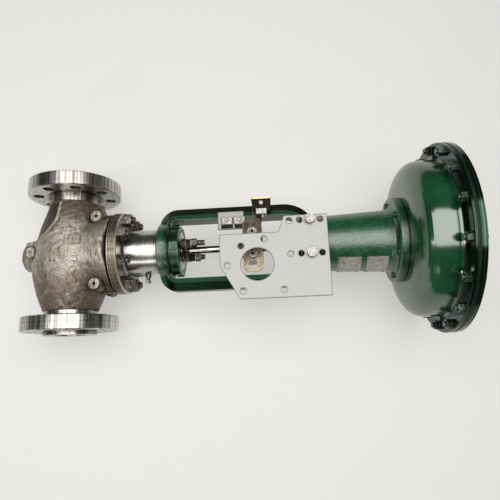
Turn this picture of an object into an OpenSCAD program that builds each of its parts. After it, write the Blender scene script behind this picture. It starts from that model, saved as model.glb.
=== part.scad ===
// Flanged globe control valve with a reverse-acting spring and diaphragm actuator.
// Millimetres. X runs along the pipe from inlet to outlet, Z runs up the stem.
// The origin is the centre of the inlet raised face.

/* [Pipe ends] */
// Distance between the two raised faces
face_to_face = 286; // [280:1:310]
// Diameter of the flow bore at each end
port_d = 51; // [40:1:54]
// Outside diameter of the pipe flanges
flange_d = 165; // [160:1:180]
// Thickness of a pipe flange without its raised face
flange_t = 25.4; // [22:0.1:28]
// Diameter of the raised face
raised_face_d = 92.1; // [85:0.1:98]
// Height of the raised face
raised_face_h = 6.4; // [2:0.1:7]
// Diameter of the circle of flange bolts
flange_pcd = 127; // [122:1:132]
// Diameter of a flange bolt hole
flange_hole_d = 19; // [16:0.5:21]
// Diameter of the outlet flange's bolt holes, drilled a step wider so that studs pass both rings
outlet_hole_d = 19.4; // [16:0.1:21]
// Number of flange bolt holes
flange_holes = 8; // [4:4:12]
// Diameter of the turned ring behind a flange
hub_ring_d = 92; // [88:1:98]
// Length of the turned ring behind a flange
hub_ring_len = 21; // [16:1:26]

/* [Valve body] */
// Diameter of the cast neck where it meets the turned ring
neck_d = 95; // [92:1:100]
// Largest diameter of the belly along the pipe
belly_d = 140; // [134:1:146]
// Height of the bonnet joint above the pipe axis
joint_z = 84; // [80:1:90]
// Diameter of the rim under the bonnet
bowl_rim_d = 144; // [140:1:147]
// Height of the straight rim under the bonnet
bowl_rim_h = 18; // [14:1:24]
// Diameter of the bottom boss
foot_d = 54; // [46:1:60]
// Distance of the bottom boss's face from the pipe axis
foot_z = 89; // [86:1:94]
// Sideways distance of the corner lugs from the stem
lug_x = 60; // [57:1:63]
// Height of the corner lugs
lug_z = 59.5; // [57:0.5:62]
// Distance from the stem to the spot face of a lug
lug_reach = 50; // [47:1:54]
// Outer diameter of a lug
lug_d = 25; // [22:1:27]
// Diameter of the hole in a lug
lug_hole_d = 8; // [6:0.5:10]
// Depth of the hole in a lug
lug_hole_depth = 15; // [8:1:18]
// Depth of the lower lug under the pipe axis
low_lug_z = 57; // [54:1:60]
// Thickness of the cast webs beside the bonnet
web_t = 12; // [8:1:16]

/* [Trim] */
// Diameter of the opening in the seat ring
seat_port_d = 58.7; // [54:0.1:60]
// Height of the seat ring's underside above the pipe axis
seat_z = 6; // [4:1:8]
// Thickness of the seat ring
seat_ring_t = 8; // [7:0.5:9]
// Diameter of the seat ring and of the cage
seat_ring_d = 84; // [80:0.5:86]
// Length of the seat ring's nose in the bridge
seat_nose_len = 13; // [8:1:15]
// Wall of the seat ring's nose
seat_nose_wall = 5.5; // [4:0.5:6]
// Thickness of the seat gasket
seat_gasket_t = 1.6; // [1:0.1:2]
// Inner diameter of the cage
cage_bore_d = 60.2; // [60.2:0.1:62]
// Number of windows in the cage
cage_windows = 4; // [3:1:6]
// Width of a cage window
cage_window_w = 30; // [20:1:34]
// Height of a cage window
cage_window_h = 30; // [20:1:32]
// Diameter of the cage's top flange
cage_flange_d = 93; // [90:0.5:94]
// Thickness of the cage's top flange
cage_flange_t = 4; // [3:0.5:6]
// Height of the valve plug
plug_h = 38; // [34:1:40]
// Running clearance of sliding pieces on the radius
running_gap = 0.05; // [0.02:0.01:0.09]
// Clearance of fitted pieces that don't move on each other
fit_gap = 0.15; // [0.1:0.05:0.3]
// Gap left under the plug's seating face
seat_gap = 0.3; // [0.2:0.1:0.4]
// Travel of the stem from closed to open
travel = 28.6; // [20:0.1:28.6]

/* [Bonnet] */
// Thickness of the bonnet gasket
gasket_t = 2.6; // [2:0.1:3]
// Diameter of the bonnet flange
bonnet_d = 147.5; // [145:0.5:150]
// Thickness of the bonnet flange
bonnet_t = 17; // [15:0.5:20]
// Diameter of the bonnet neck
bonnet_neck_d = 80.8; // [78:0.1:83]
// Height of the bonnet shoulder above the pipe axis
shoulder_z = 164.9; // [160:0.1:170]
// Diameter of the boss that the yoke sits on
yoke_boss_d = 71.4; // [70:0.1:73]
// Height of the bonnet's end face above the shoulder
yoke_boss_h = 37.6; // [36:0.1:42]
// Number of bonnet studs
bonnet_studs = 8; // [4:4:12]
// Diameter of the circle of bonnet studs
bonnet_pcd = 121; // [119:0.5:123]
// Diameter of a bonnet stud
bonnet_stud_d = 12.7; // [11:0.1:14]
// Stud length above the bonnet flange
bonnet_stud_up = 18.5; // [16:0.5:22]
// Stud length below the bonnet joint
bonnet_stud_down = 20; // [16:1:24]
// Width across flats of a bonnet nut
bonnet_nut_af = 20; // [18:0.1:22.2]
// Height of a bonnet nut
bonnet_nut_h = 12.5; // [10:0.1:14]
// Diameter of the packing box
packing_d = 25.4; // [22:0.1:28]
// Height of the packing box's floor above the pipe axis
packing_floor_z = 122; // [116:1:126]
// Number of packing rings
packing_count = 5; // [3:1:6]
// Height of one packing ring
packing_ring_h = 4.5; // [4:0.1:5]
// Diameter of the plug's head in the bonnet's side tapping
side_plug_d = 11; // [9:0.5:12]
// Height of the side tapping above the pipe axis
side_plug_z = 140; // [136:1:146]
// Height of the packing flange's underside above the boss
packing_flange_gap = 3; // [2:0.5:5]
// Thickness of the packing flange
packing_flange_t = 8; // [6:0.5:10]
// Distance of a packing stud from the stem
packing_stud_r = 24; // [22:0.5:26]
// Diameter of a packing stud
packing_stud_d = 9.5; // [8:0.1:10]
// Height of the longer packing stud above the packing flange
packing_stud_up = 33; // [28:0.5:36]
// Turn of the packing studs about the stem
packing_turn = 20; // [0:1:30]

/* [Stem] */
// Diameter of the valve stem
stem_d = 12.7; // [12:0.1:13]
// Diameter of the actuator stem
act_stem_d = 19; // [17:0.1:20]
// Height of the stem connector's underside above the pipe axis
connector_z = 315; // [312:1:320]
// Height of the stem connector
connector_h = 34; // [32:1:38]
// Width of the stem connector
connector_w = 56; // [52:1:60]
// Depth of the stem connector
connector_depth = 56; // [50:1:58]
// Distance of a connector screw from the stem
connector_screw_x = 19.5; // [17.5:0.5:21]
// Diameter of a connector screw
connector_screw_d = 8; // [6:0.5:9]
// Diameter of the travel indicator disc
indicator_d = 46; // [40:1:50]
// Width across flats of a stem locknut
stem_nut_af = 19; // [18:0.5:22]
// Height of a stem locknut
stem_nut_h = 8; // [6:0.5:9]

/* [Feedback bracket] */
// Thickness of the feedback bracket
bracket_t = 4; // [3:0.5:5]
// Reach of the bracket to the side of the end block
bracket_left = 74; // [70:1:76]
// Reach of the bracket to the other side
bracket_right = 49; // [44:1:54]
// Width of the end block
block_w = 29; // [24:1:30]
// Depth of the end block
block_depth = 21; // [16:1:23]
// Height of the end block
block_h = 34; // [28:1:36]
// Height of the end block's underside above the bracket's lower edge
block_lift = 18; // [14:1:20]

/* [Yoke] */
// Outer diameter of the yoke hub
yoke_hub_d = 100; // [96:1:104]
// Height of the yoke hub
yoke_hub_h = 21; // [18:1:22]
// Distance from the stem to a leg's inner face
leg_inner_x = 53; // [51:1:56]
// Width of a leg in the plane of the yoke
leg_w = 22; // [18:1:24]
// Depth of a leg across the plane of the yoke
leg_depth = 40; // [34:1:44]
// Depth of the leg's narrower outer face
leg_ridge = 20; // [14:1:26]
// Inner radius of the leg's lower corner
leg_low_r = 11; // [9:1:14]
// Height where the straight leg ends and its upper bend starts
leg_top_z = 388; // [380:1:392]
// Inner radius of the leg's upper bend
leg_high_r = 38; // [36:1:40]
// Angle of the leg's upper bend
leg_high_a = 60; // [56:1:64]
// Outer diameter of the yoke locknut
locknut_d = 88; // [84:1:92]
// Height of the yoke locknut
locknut_h = 16.5; // [14:0.5:18]
// Number of wrench lugs on the locknut
locknut_lugs = 6; // [4:1:8]
// Height of the barrel's lower rim above the pipe axis
barrel_low_z = 415; // [410:1:420]
// Diameter of the barrel at its lower rim
barrel_low_d = 95; // [92:0.5:98]
// Diameter of the barrel under its flange
barrel_top_d = 108.5; // [104:0.5:112]
// Bore of the barrel
barrel_bore_d = 84; // [80:0.5:86]
// Underside of the barrel's closed end above the pipe axis
barrel_roof_z = 563; // [558:1:566]
// Diameter of the yoke's top flange
top_flange_d = 150; // [144:1:156]
// Thickness of the yoke's top flange
top_flange_t = 14.4; // [12:0.1:18]
// Height of the yoke's top face above the pipe axis
top_flange_z = 589.4; // [586:0.1:594]
// Diameter of the circle of casing cap screws
cap_screw_pcd = 126; // [120:1:128]
// Number of casing cap screws
cap_screws = 6; // [4:1:8]
// Diameter of a casing cap screw
cap_screw_d = 10; // [8:0.5:12]
// Diameter of the tapping drill in the air connection
air_port_d = 11.1; // [10:0.1:12]

/* [Travel scale and positioner plate] */
// Height of the travel scale's lower edge above the pipe axis
scale_z = 271; // [268:1:274]
// Length of the travel scale
scale_h = 47; // [44:1:50]
// Width of the travel scale
scale_w = 28; // [22:0.5:28]
// Thickness of the travel scale
scale_t = 2; // [1.5:0.5:3]
// Depth of the positioner plate's front face before the stem
plate_y = 65; // [63:1:70]
// Thickness of the positioner plate
plate_t = 4.5; // [3:0.5:5]
// Height of the plate's lower edge above the pipe axis
plate_low_z = 277.6; // [275:0.1:280]
// Height of the plate's upper edge above the pipe axis
plate_top_z = 459.5; // [457:0.5:462]
// Reach of the plate towards the outlet
plate_right = 100; // [96:1:104]
// Reach of the plate's wide part towards the inlet
plate_left = 37.5; // [36:0.5:40]
// Reach of the plate's narrow part towards the inlet
plate_waist = 10; // [8:0.5:12]
// Diameter of the plate's round window
plate_window_d = 55; // [50:0.5:58]
// Distance between the plate's two rows of bolt holes
plate_hole_pitch_x = 57.2; // [55:0.1:60]
// Height of the first bolt hole above the pipe axis
plate_hole_z = 395.8; // [394:0.1:398]
// Step between the bolt holes of a row
plate_hole_step = 17.33; // [16:0.01:18]
// Diameter of the plate's small holes
plate_hole_d = 10.3; // [9.9:0.1:11]
// Diameter of a plate bolt
plate_bolt_d = 9.5; // [8:0.1:9.7]

/* [Actuator] */
// Outer diameter of the lower casing's wall
dome_d = 274.5; // [268:0.5:280]
// Diameter of the lower casing's flat floor
dome_floor_d = 144; // [140:1:150]
// Height of the lower casing's curved shoulder
dome_rise = 40.8; // [36:0.1:46]
// Roundness of the shoulder, where 2 is a quarter ellipse
dome_power = 2.8; // [2:0.1:3.5]
// Thickness of the casing sheet
casing_t = 4; // [3:0.5:5]
// Diameter of the casing flange
casing_d = 331; // [326:1:336]
// Height of the casing flange's underside above the pipe axis
casing_z = 653.5; // [650:0.1:656]
// Thickness of the lower casing's flange
casing_flange_t = 5; // [4:0.1:6]
// Thickness of the diaphragm's edge between the flanges
diaphragm_edge_t = 4.8; // [4:0.1:5.5]
// Thickness of the moulded diaphragm
diaphragm_t = 3.2; // [2.5:0.1:4]
// Height of the upper casing over its flange
cover_rise = 42; // [38:1:46]
// Number of casing bolts
casing_bolts = 16; // [12:2:20]
// Diameter of the circle of casing bolts
casing_pcd = 308; // [304:0.5:310]
// Turn of the first casing bolt about the stem
casing_turn = 9.7; // [0:0.1:20]
// Diameter of a casing bolt
casing_bolt_d = 9.5; // [8:0.1:10]
// Width across flats of a casing bolt's head and nut
casing_nut_af = 14.3; // [13:0.1:16]
// Height of a casing nut
casing_nut_h = 8.3; // [7:0.1:9]
// Diameter of the diaphragm plate
plate_disc_d = 210; // [200:1:216]
// Height of the diaphragm plate's underside above the pipe axis, valve closed
disc_z = 622; // [620:0.5:624]
// Diameter of the seal bushing
bushing_d = 40; // [36:0.5:44]
// Mean diameter of the spring
spring_d = 64; // [60:0.5:66]
// Diameter of the spring wire
spring_wire = 9; // [7:0.5:10]
// Number of coils in the spring
spring_coils = 7; // [5:0.5:7]
// Height of the lower spring seat's top face above the pipe axis
spring_seat_z = 452; // [450:1:456]
// Thickness of the lower spring seat
spring_seat_t = 8; // [6:0.5:10]
// Width across flats of the spring adjuster
adjuster_af = 41; // [36:0.5:46]
// Height of the spring adjuster
adjuster_h = 18; // [14:1:20]

/* [Hidden] */
$fn = 64;
hull_fn = 32;
hex_sides = 6;
face_gap = 0.3;

cast_steel = [0.62, 0.58, 0.52];
turned_steel = [0.78, 0.77, 0.75];
dark_steel = [0.36, 0.35, 0.33];
green_paint = [0.10, 0.33, 0.20];
plate_grey = [0.80, 0.80, 0.78];
brass_colour = [0.71, 0.58, 0.32];
seal_black = [0.08, 0.08, 0.08];

port_r = port_d / 2;
flange_r = flange_d / 2;
face_x = face_to_face / 2;
flange_face_x = face_x - raised_face_h;
flange_back_x = flange_face_x - flange_t;
neck_end_x = flange_back_x - hub_ring_len;
belly_r = belly_d / 2;
neck_r = neck_d / 2;
gallery_r = 52;
chamber_z = 34;
seat_top_z = seat_z + seat_ring_t;
nose_r = seat_port_d / 2 + seat_nose_wall;
bonnet_low_z = joint_z + gasket_t;
bonnet_top_z = bonnet_low_z + bonnet_t;
cage_r = seat_ring_d / 2;
plug_z = seat_top_z + seat_gap;
plug_top_z = plug_z + plug_h;
stem_r = stem_d / 2;
act_stem_r = act_stem_d / 2;
boss_top_z = shoulder_z + yoke_boss_h;
packing_r = packing_d / 2;
packing_flange_z = boss_top_z + packing_flange_gap;
packing_flange_top_z = packing_flange_z + packing_flange_t;
connector_top_z = connector_z + connector_h;
stem_joint_z = connector_z + connector_h / 2;
indicator_t = 3;
nut_stack_z = connector_z - indicator_t - 2 * stem_nut_h - 0.1;
hub_top_z = shoulder_z + yoke_hub_h;
leg_mid_x = leg_inner_x + leg_w / 2;
leg_low_x = leg_inner_x - leg_low_r;
leg_low_z = hub_top_z + leg_low_r;
leg_high_x = leg_inner_x - leg_high_r;
top_flange_low_z = top_flange_z - top_flange_t;
plate_back_y = plate_y - plate_t;
plate_bolt_z = plate_hole_z + 2 * plate_hole_step;
dome_r = dome_d / 2;
casing_r = casing_d / 2;
diaphragm_z = casing_z + casing_flange_t;
cover_z = diaphragm_z + diaphragm_edge_t;
cover_top_z = cover_z + casing_flange_t;
spring_seat_low_z = spring_seat_z - spring_seat_t;
adjuster_z = spring_seat_low_z - face_gap - adjuster_h;
bracket_back_y = connector_depth / 2;
bracket_front_y = bracket_back_y + bracket_t;
disc_t = 5;

module at_stem() translate([face_x, 0, 0]) children();

// Copies round the stem, the first one on the near side turned by a0
module ring_of(n, r, a0 = 0)
    for (i = [0 : n - 1])
        rotate([0, 0, a0 + i * 360 / n]) translate([0, -r, 0]) children();

// A hexagon prism with its corners turned down at the free end
module hex_nut(af, h) {
    corner = af / sqrt(3);
    intersection() {
        cylinder(r = corner, h = h, $fn = hex_sides);
        cylinder(r1 = corner + h, r2 = af / 2 + 0.02 * af, h = h);
    }
}

module tube(r_out, r_in, h) difference() {
    cylinder(r = r_out, h = h);
    translate([0, 0, -1]) cylinder(r = r_in, h = h + 2);
}

// A cylinder along Y from y0 to y1
module rod_y(r, y0, y1) translate([0, y0, 0]) rotate([-90, 0, 0]) cylinder(r = r, h = y1 - y0);

// A plate in the XZ plane whose front face is at y = -front
module plate_xz(front, t) translate([0, -front + t, 0]) rotate([90, 0, 0]) linear_extrude(t) children();

// Points of a shoulder that swells from radius r0 at height z0 to radius r1 at height z0 + rise
function shoulder(r0, r1, z0, rise, power, steps = 14) = [for (i = [0 : steps])
    let (a = 90 * i / steps)
    [r0 + (r1 - r0) * pow(sin(a), 2 / power), z0 + rise - rise * pow(cos(a), 2 / power)]];
function reversed(list) = [for (i = [len(list) - 1 : -1 : 0]) list[i]];

function run_r(x) = neck_r + (belly_r - neck_r) * (1 - pow(x / neck_end_x, 2));
run_steps = 8;
rim_chamfer = 1.5;
half_run = concat(
    [for (i = [0 : run_steps]) let (x = neck_end_x * i / run_steps) [run_r(x), x]],
    [[hub_ring_d / 2, neck_end_x + 1.5], [hub_ring_d / 2, flange_back_x],
    [flange_r - rim_chamfer, flange_back_x], [flange_r, flange_back_x + rim_chamfer],
    [flange_r, flange_face_x - rim_chamfer], [flange_r - rim_chamfer, flange_face_x],
    [raised_face_d / 2, flange_face_x], [raised_face_d / 2, face_x], [0, face_x]]);

module run_skin() for (side = [0, 1])
    mirror([side, 0, 0]) rotate([0, 90, 0]) rotate_extrude() polygon(concat([[0, 0]], half_run));

bowl_steps = 8;
bowl_waist_r = 63;
module bowl_skin() rotate_extrude() polygon(concat(
    [[0, -belly_r]],
    [for (i = [1 : bowl_steps]) let (a = 90 * i / bowl_steps) [belly_r * sin(a), -belly_r * cos(a)]],
    [[bowl_waist_r + 3, 30], [bowl_waist_r, 46], [bowl_rim_d / 2 - 2, joint_z - bowl_rim_h],
    [bowl_rim_d / 2, joint_z - bowl_rim_h + 3], [bowl_rim_d / 2, joint_z], [0, joint_z]]));

module foot_boss() mirror([0, 0, 1]) rotate_extrude()
    polygon([[0, 40], [foot_d / 2 + 4, 40], [foot_d / 2, foot_z - 14], [foot_d / 2, foot_z - 4],
        [foot_d / 2 - 4, foot_z], [0, foot_z]]);

// Cast webs that carry the corner lugs: full on the inlet side, notched on the outlet side
module body_webs() {
    plate_xz(web_t / 2, web_t) polygon([[-neck_end_x - 6, neck_r - 4], [-neck_end_x, neck_r + 5],
        [-lug_x - 13, lug_z + 3], [-lug_x - 6, joint_z], [-40, joint_z], [-40, 30], [-neck_end_x, 30]]);
    plate_xz(web_t / 2, web_t) polygon([[neck_end_x + 14, neck_r - 3], [neck_end_x + 8, neck_r + 2],
        [neck_end_x, neck_r - 6], [lug_x + 13, lug_z - 12], [lug_x + 11, lug_z + 6],
        [lug_x + 4, joint_z], [40, joint_z], [40, 30], [neck_end_x, 30]]);
}

module corner_lugs() for (x = [-lug_x, lug_x]) {
    translate([x, 0, lug_z]) rod_y(lug_d / 2 - 2, -lug_reach, lug_reach);
    translate([x, 0, lug_z]) rod_y(lug_d / 2, -lug_reach + 3, lug_reach - 3);
}

low_pad_w = 26;
module low_lugs() {
    translate([-low_pad_w / 2, -lug_reach + 2, -low_lug_z - low_pad_w / 2])
        cube([low_pad_w, 2 * lug_reach - 4, low_pad_w]);
    translate([0, 0, -low_lug_z]) rod_y(lug_d / 2 - 2.5, -lug_reach, lug_reach);
}

module lug_holes() for (side = [0, 1], p = [[-lug_x, lug_z], [lug_x, lug_z], [0, -low_lug_z]])
    mirror([0, side, 0]) translate([p[0], 0, p[1]])
        rod_y(lug_hole_d / 2, -lug_reach - 1, -lug_reach + lug_hole_depth);

// Flow passages: the inlet dips under the bridge, the outlet leaves the gallery round the cage
module flow_passages() {
    in_bend_x = 60;
    out_low_x = 80;
    out_rise = 40;
    out_r = port_r - 5.5;
    dip = chamber_z;
    passage_r = port_r - 1.5;
    translate([-face_x - 1, 0, 0]) rotate([0, 90, 0]) cylinder(r = port_r, h = face_x - in_bend_x + 1);
    translate([-in_bend_x, 0, 0]) sphere(r = port_r);
    translate([-in_bend_x, 0, 0]) rotate([0, 90 + atan2(dip, in_bend_x), 0])
        cylinder(r = passage_r, h = norm([in_bend_x, dip]));
    translate([0, 0, -dip]) sphere(r = port_r + 2);
    translate([0, 0, -dip]) cylinder(r = port_r + 2, h = dip);
    translate([0, 0, seat_z - seat_nose_len]) cylinder(r = nose_r + fit_gap, h = joint_z);
    translate([0, 0, seat_z - seat_gasket_t]) cylinder(r = cage_r + fit_gap, h = joint_z);
    translate([0, 0, seat_top_z + 1]) rotate_extrude()
        polygon([[0, 0], [gallery_r - 6, 0], [gallery_r, 6], [gallery_r, 38], [gallery_r - 6, 44], [0, 44]]);
    translate([0, 0, joint_z - cage_flange_t]) cylinder(r = cage_flange_d / 2 + fit_gap, h = 20);
    translate([out_low_x, 0, 0]) rotate([0, -45, 0]) cylinder(r = out_r, h = out_rise * sqrt(2));
    translate([out_low_x, 0, 0]) sphere(r = port_r);
    translate([out_low_x, 0, 0]) rotate([0, 90, 0]) cylinder(r = port_r, h = face_x - out_low_x + 1);
}

module flange_holes(side, hole_d) mirror([side, 0, 0])
    translate([flange_back_x - 1, 0, 0]) rotate([0, 90, 0])
        for (i = [0 : flange_holes - 1]) rotate([0, 0, (i + 0.5) * 360 / flange_holes])
            translate([flange_pcd / 2, 0, 0]) cylinder(d = hole_d, h = flange_t + 2);

module valve_body() color(cast_steel) at_stem() difference() {
    union() {
        run_skin();
        bowl_skin();
        foot_boss();
        body_webs();
        corner_lugs();
        low_lugs();
    }
    flow_passages();
    lug_holes();
    flange_holes(1, flange_hole_d);
    flange_holes(0, outlet_hole_d);
    translate([0, 0, joint_z]) cylinder(d = bonnet_d + 60, h = 60);
    translate([0, 0, joint_z - bonnet_stud_down]) ring_of(bonnet_studs, bonnet_pcd / 2, 180 / bonnet_studs)
        cylinder(d = bonnet_stud_d, h = bonnet_stud_down + 1);
}

module seat_gasket() color(dark_steel) at_stem() translate([0, 0, seat_z - seat_gasket_t])
    tube(cage_r, nose_r + fit_gap + 0.5, seat_gasket_t);

module seat_ring() color(turned_steel) at_stem() translate([0, 0, seat_z]) difference() {
    union() {
        cylinder(r = cage_r, h = seat_ring_t);
        translate([0, 0, -seat_nose_len]) cylinder(r = nose_r, h = seat_nose_len + 1);
    }
    translate([0, 0, -seat_nose_len - 1]) cylinder(d = seat_port_d, h = seat_nose_len + seat_ring_t + 2);
    translate([0, 0, seat_ring_t - 1]) cylinder(d1 = seat_port_d, d2 = seat_port_d + 2, h = 1.01);
}

module cage() color(turned_steel) at_stem() difference() {
    union() {
        translate([0, 0, seat_top_z]) cylinder(r = cage_r, h = joint_z - seat_top_z);
        translate([0, 0, joint_z - cage_flange_t]) cylinder(d = cage_flange_d, h = cage_flange_t);
    }
    translate([0, 0, seat_top_z - 1]) cylinder(d = cage_bore_d, h = joint_z);
    for (i = [0 : cage_windows - 1]) rotate([0, 0, (i + 0.5) * 360 / cage_windows])
        translate([0, 0, seat_top_z + 3 + cage_window_h / 2]) rotate([0, 90, 0]) intersection() {
            cylinder(d = cage_window_h, h = cage_r + 5);
            translate([-cage_window_h, -cage_window_w / 2, 0])
                cube([2 * cage_window_h, cage_window_w, cage_r + 5]);
        }
}

plug_r = cage_bore_d / 2 - running_gap;
seal_groove_h = 5;
seal_groove_depth = 4;
module valve_plug() color(turned_steel) at_stem() difference() {
    rotate_extrude() polygon([[0, plug_z - 7], [seat_port_d / 2 - 2, plug_z - 7],
        [seat_port_d / 2 - seat_gap, plug_z - 4], [seat_port_d / 2 - seat_gap, plug_z], [plug_r, plug_z],
        [plug_r, plug_top_z - 12], [plug_r - seal_groove_depth, plug_top_z - 12],
        [plug_r - seal_groove_depth, plug_top_z - 12 + seal_groove_h],
        [plug_r, plug_top_z - 12 + seal_groove_h], [plug_r, plug_top_z - 1],
        [plug_r - 1, plug_top_z], [0, plug_top_z]]);
    translate([0, 0, plug_z + 6]) cylinder(r = stem_r, h = plug_h);
    translate([0, 0, plug_z + 20]) rotate_extrude()
        polygon([[13, 0], [23, 0], [23, plug_h], [13, plug_h]]);
    for (a = [45 : 90 : 315]) rotate([0, 0, a]) translate([18, 0, plug_z - 10]) cylinder(r = 4, h = plug_h);
    translate([0, 0, plug_z + 13]) rod_y(pin_r, -plug_r - 1, plug_r + 1);
}
pin_r = 2;

module plug_seal_ring() color(seal_black) at_stem()
    translate([0, 0, plug_top_z - 12 + 0.2])
        tube(plug_r, plug_r - seal_groove_depth + 0.2, seal_groove_h - 0.4);

module stem_pin() color(turned_steel) at_stem()
    translate([0, 0, plug_z + 13]) rod_y(pin_r, -plug_r + 6, plug_r - 6);

module bonnet_gasket() color(dark_steel) at_stem() translate([0, 0, joint_z])
    tube(cage_flange_d / 2, cage_r, gasket_t);

module bonnet() color(turned_steel) at_stem() difference() {
    rotate_extrude() polygon([[0, bonnet_low_z], [bonnet_d / 2 - 1, bonnet_low_z],
        [bonnet_d / 2, bonnet_low_z + 1], [bonnet_d / 2, bonnet_top_z - 1.5],
        [bonnet_d / 2 - 1.5, bonnet_top_z], [bonnet_neck_d / 2 + 3, bonnet_top_z],
        [bonnet_neck_d / 2, bonnet_top_z + 3], [bonnet_neck_d / 2, shoulder_z],
        [yoke_boss_d / 2, shoulder_z], [yoke_boss_d / 2, boss_top_z - 1.5],
        [yoke_boss_d / 2 - 1.5, boss_top_z], [0, boss_top_z]]);
    translate([0, 0, bonnet_low_z - 1]) cylinder(r = stem_r + running_gap, h = boss_top_z);
    translate([0, 0, bonnet_low_z - 1]) cylinder(r1 = 24, r2 = 14, h = 12);
    translate([0, 0, packing_floor_z]) cylinder(r = packing_r, h = boss_top_z);
    translate([0, 0, bonnet_low_z - 1]) ring_of(bonnet_studs, bonnet_pcd / 2, 180 / bonnet_studs)
        cylinder(d = bonnet_stud_d + 1.5, h = bonnet_t + 2);
    translate([0, 0, boss_top_z - 18]) ring_of(2, packing_stud_r, -packing_turn)
        cylinder(d = packing_stud_d, h = 20);
    translate([0, 0, side_plug_z]) rotate([0, 90, 0]) cylinder(r = 4, h = bonnet_neck_d / 2 + 1);
}

module bonnet_studs() color(dark_steel) at_stem()
    translate([0, 0, joint_z - bonnet_stud_down]) ring_of(bonnet_studs, bonnet_pcd / 2, 180 / bonnet_studs)
        rotate_extrude() polygon([[0, 0], [bonnet_stud_d / 2, 0], [bonnet_stud_d / 2, stud_len - 1.2],
            [bonnet_stud_d / 2 - 1.2, stud_len], [0, stud_len]]);
stud_len = bonnet_stud_down + gasket_t + bonnet_t + bonnet_stud_up;

module bonnet_nuts() color(dark_steel) at_stem()
    translate([0, 0, bonnet_top_z]) ring_of(bonnet_studs, bonnet_pcd / 2, 180 / bonnet_studs) difference() {
        rotate([0, 0, 18]) hex_nut(bonnet_nut_af, bonnet_nut_h);
        translate([0, 0, -1]) cylinder(r = bonnet_stud_d / 2 + running_gap, h = bonnet_nut_h + 2);
    }

module bonnet_side_plug() color(dark_steel) at_stem()
    translate([0, 0, side_plug_z]) rotate([0, 90, 0]) {
        translate([0, 0, bonnet_neck_d / 2 - 12]) cylinder(r = 4 - running_gap, h = 13);
        translate([0, 0, bonnet_neck_d / 2 + face_gap]) cylinder(d = side_plug_d, h = 5);
        translate([0, 0, bonnet_neck_d / 2 + 4]) cylinder(r = 3.6, h = 9);
        translate([0, 0, bonnet_neck_d / 2 + 12]) cylinder(d = side_plug_d - 1, h = 4, $fn = hex_sides);
    }

lantern_z = packing_floor_z + 4;
packing_top_z = boss_top_z - 14;
packing_low_z = packing_top_z - packing_count * packing_ring_h;
module packing_box_ring() color(turned_steel) at_stem() translate([0, 0, packing_floor_z])
    tube(packing_r - running_gap, stem_r + running_gap, 4);

module lantern_ring() color(turned_steel) at_stem() difference() {
    translate([0, 0, lantern_z])
        tube(packing_r - running_gap, stem_r + running_gap, packing_low_z - lantern_z);
    for (a = [0 : 60 : 120]) rotate([0, 0, a])
        translate([0, 0, side_plug_z]) rod_y(3, -packing_r - 1, packing_r + 1);
    translate([0, 0, side_plug_z]) rotate_extrude()
        polygon([[packing_r - 1.5, -6], [packing_r + 1, -6], [packing_r + 1, 6], [packing_r - 1.5, 6]]);
}

// Nested V rings, each with its ridge up
module packing_rings() color([0.9, 0.9, 0.86]) at_stem() for (i = [0 : packing_count - 1])
    translate([0, 0, packing_low_z + i * packing_ring_h]) tube(packing_r - running_gap,
        stem_r + running_gap, packing_ring_h - 0.2);

module packing_follower() color(turned_steel) at_stem() difference() {
    union() {
        translate([0, 0, packing_top_z])
            cylinder(r = packing_r - running_gap, h = packing_flange_z - packing_top_z);
        translate([0, 0, packing_flange_z - 2]) cylinder(r = packing_r + 2, h = 2);
    }
    translate([0, 0, packing_top_z - 1])
        cylinder(r = stem_r + running_gap, h = packing_flange_z - packing_top_z + 2);
}

module wiper_ring() color(seal_black) at_stem() translate([0, 0, packing_flange_z])
    tube(wiper_r, stem_r + running_gap, packing_flange_t - 2);
wiper_r = stem_r + 3.5;

flange_lens_r = 56;
flange_half_w = 15;
module packing_flange() color(dark_steel) at_stem() rotate([0, 0, -packing_turn]) difference() {
    translate([0, 0, packing_flange_z]) intersection() {
        translate([flange_lens_r - flange_half_w, 0, 0]) cylinder(r = flange_lens_r, h = packing_flange_t);
        translate([flange_half_w - flange_lens_r, 0, 0]) cylinder(r = flange_lens_r, h = packing_flange_t);
        cylinder(r = packing_stud_r + 10, h = packing_flange_t);
    }
    translate([0, 0, packing_flange_z - 1]) cylinder(r = stem_r + 1, h = packing_flange_t + 2);
    translate([0, 0, packing_flange_z - 1]) cylinder(r = wiper_r, h = packing_flange_t - 1);
    translate([0, 0, packing_flange_z - 1]) ring_of(2, packing_stud_r)
        cylinder(d = packing_stud_d + 0.6, h = packing_flange_t + 2);
}

module packing_studs() color(turned_steel) at_stem() rotate([0, 0, -packing_turn])
    for (side = [0, 1]) rotate([0, 0, 180 * side]) translate([0, -packing_stud_r, boss_top_z - 18])
        cylinder(d = packing_stud_d, h = 18 + packing_flange_gap + packing_flange_t + packing_stud_up - 6 * side);

packing_nut_af = 14.3;
packing_nut_h = 9.5;
module packing_nuts() color(turned_steel) at_stem() rotate([0, 0, -packing_turn])
    translate([0, 0, packing_flange_top_z]) ring_of(2, packing_stud_r) for (k = [0, 1])
        translate([0, 0, k * (packing_nut_h + 0.1)]) difference() {
            rotate([0, 0, 25 * k]) hex_nut(packing_nut_af, packing_nut_h);
            translate([0, 0, -1]) cylinder(r = packing_stud_d / 2 + running_gap, h = packing_nut_h + 2);
        }

module valve_stem() color(turned_steel) at_stem() difference() {
    translate([0, 0, plug_z + 6]) cylinder(r = stem_r, h = stem_joint_z - 1.5 - plug_z - 6);
    translate([0, 0, plug_z + 13]) rod_y(pin_r, -stem_r - 1, stem_r + 1);
}

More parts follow.
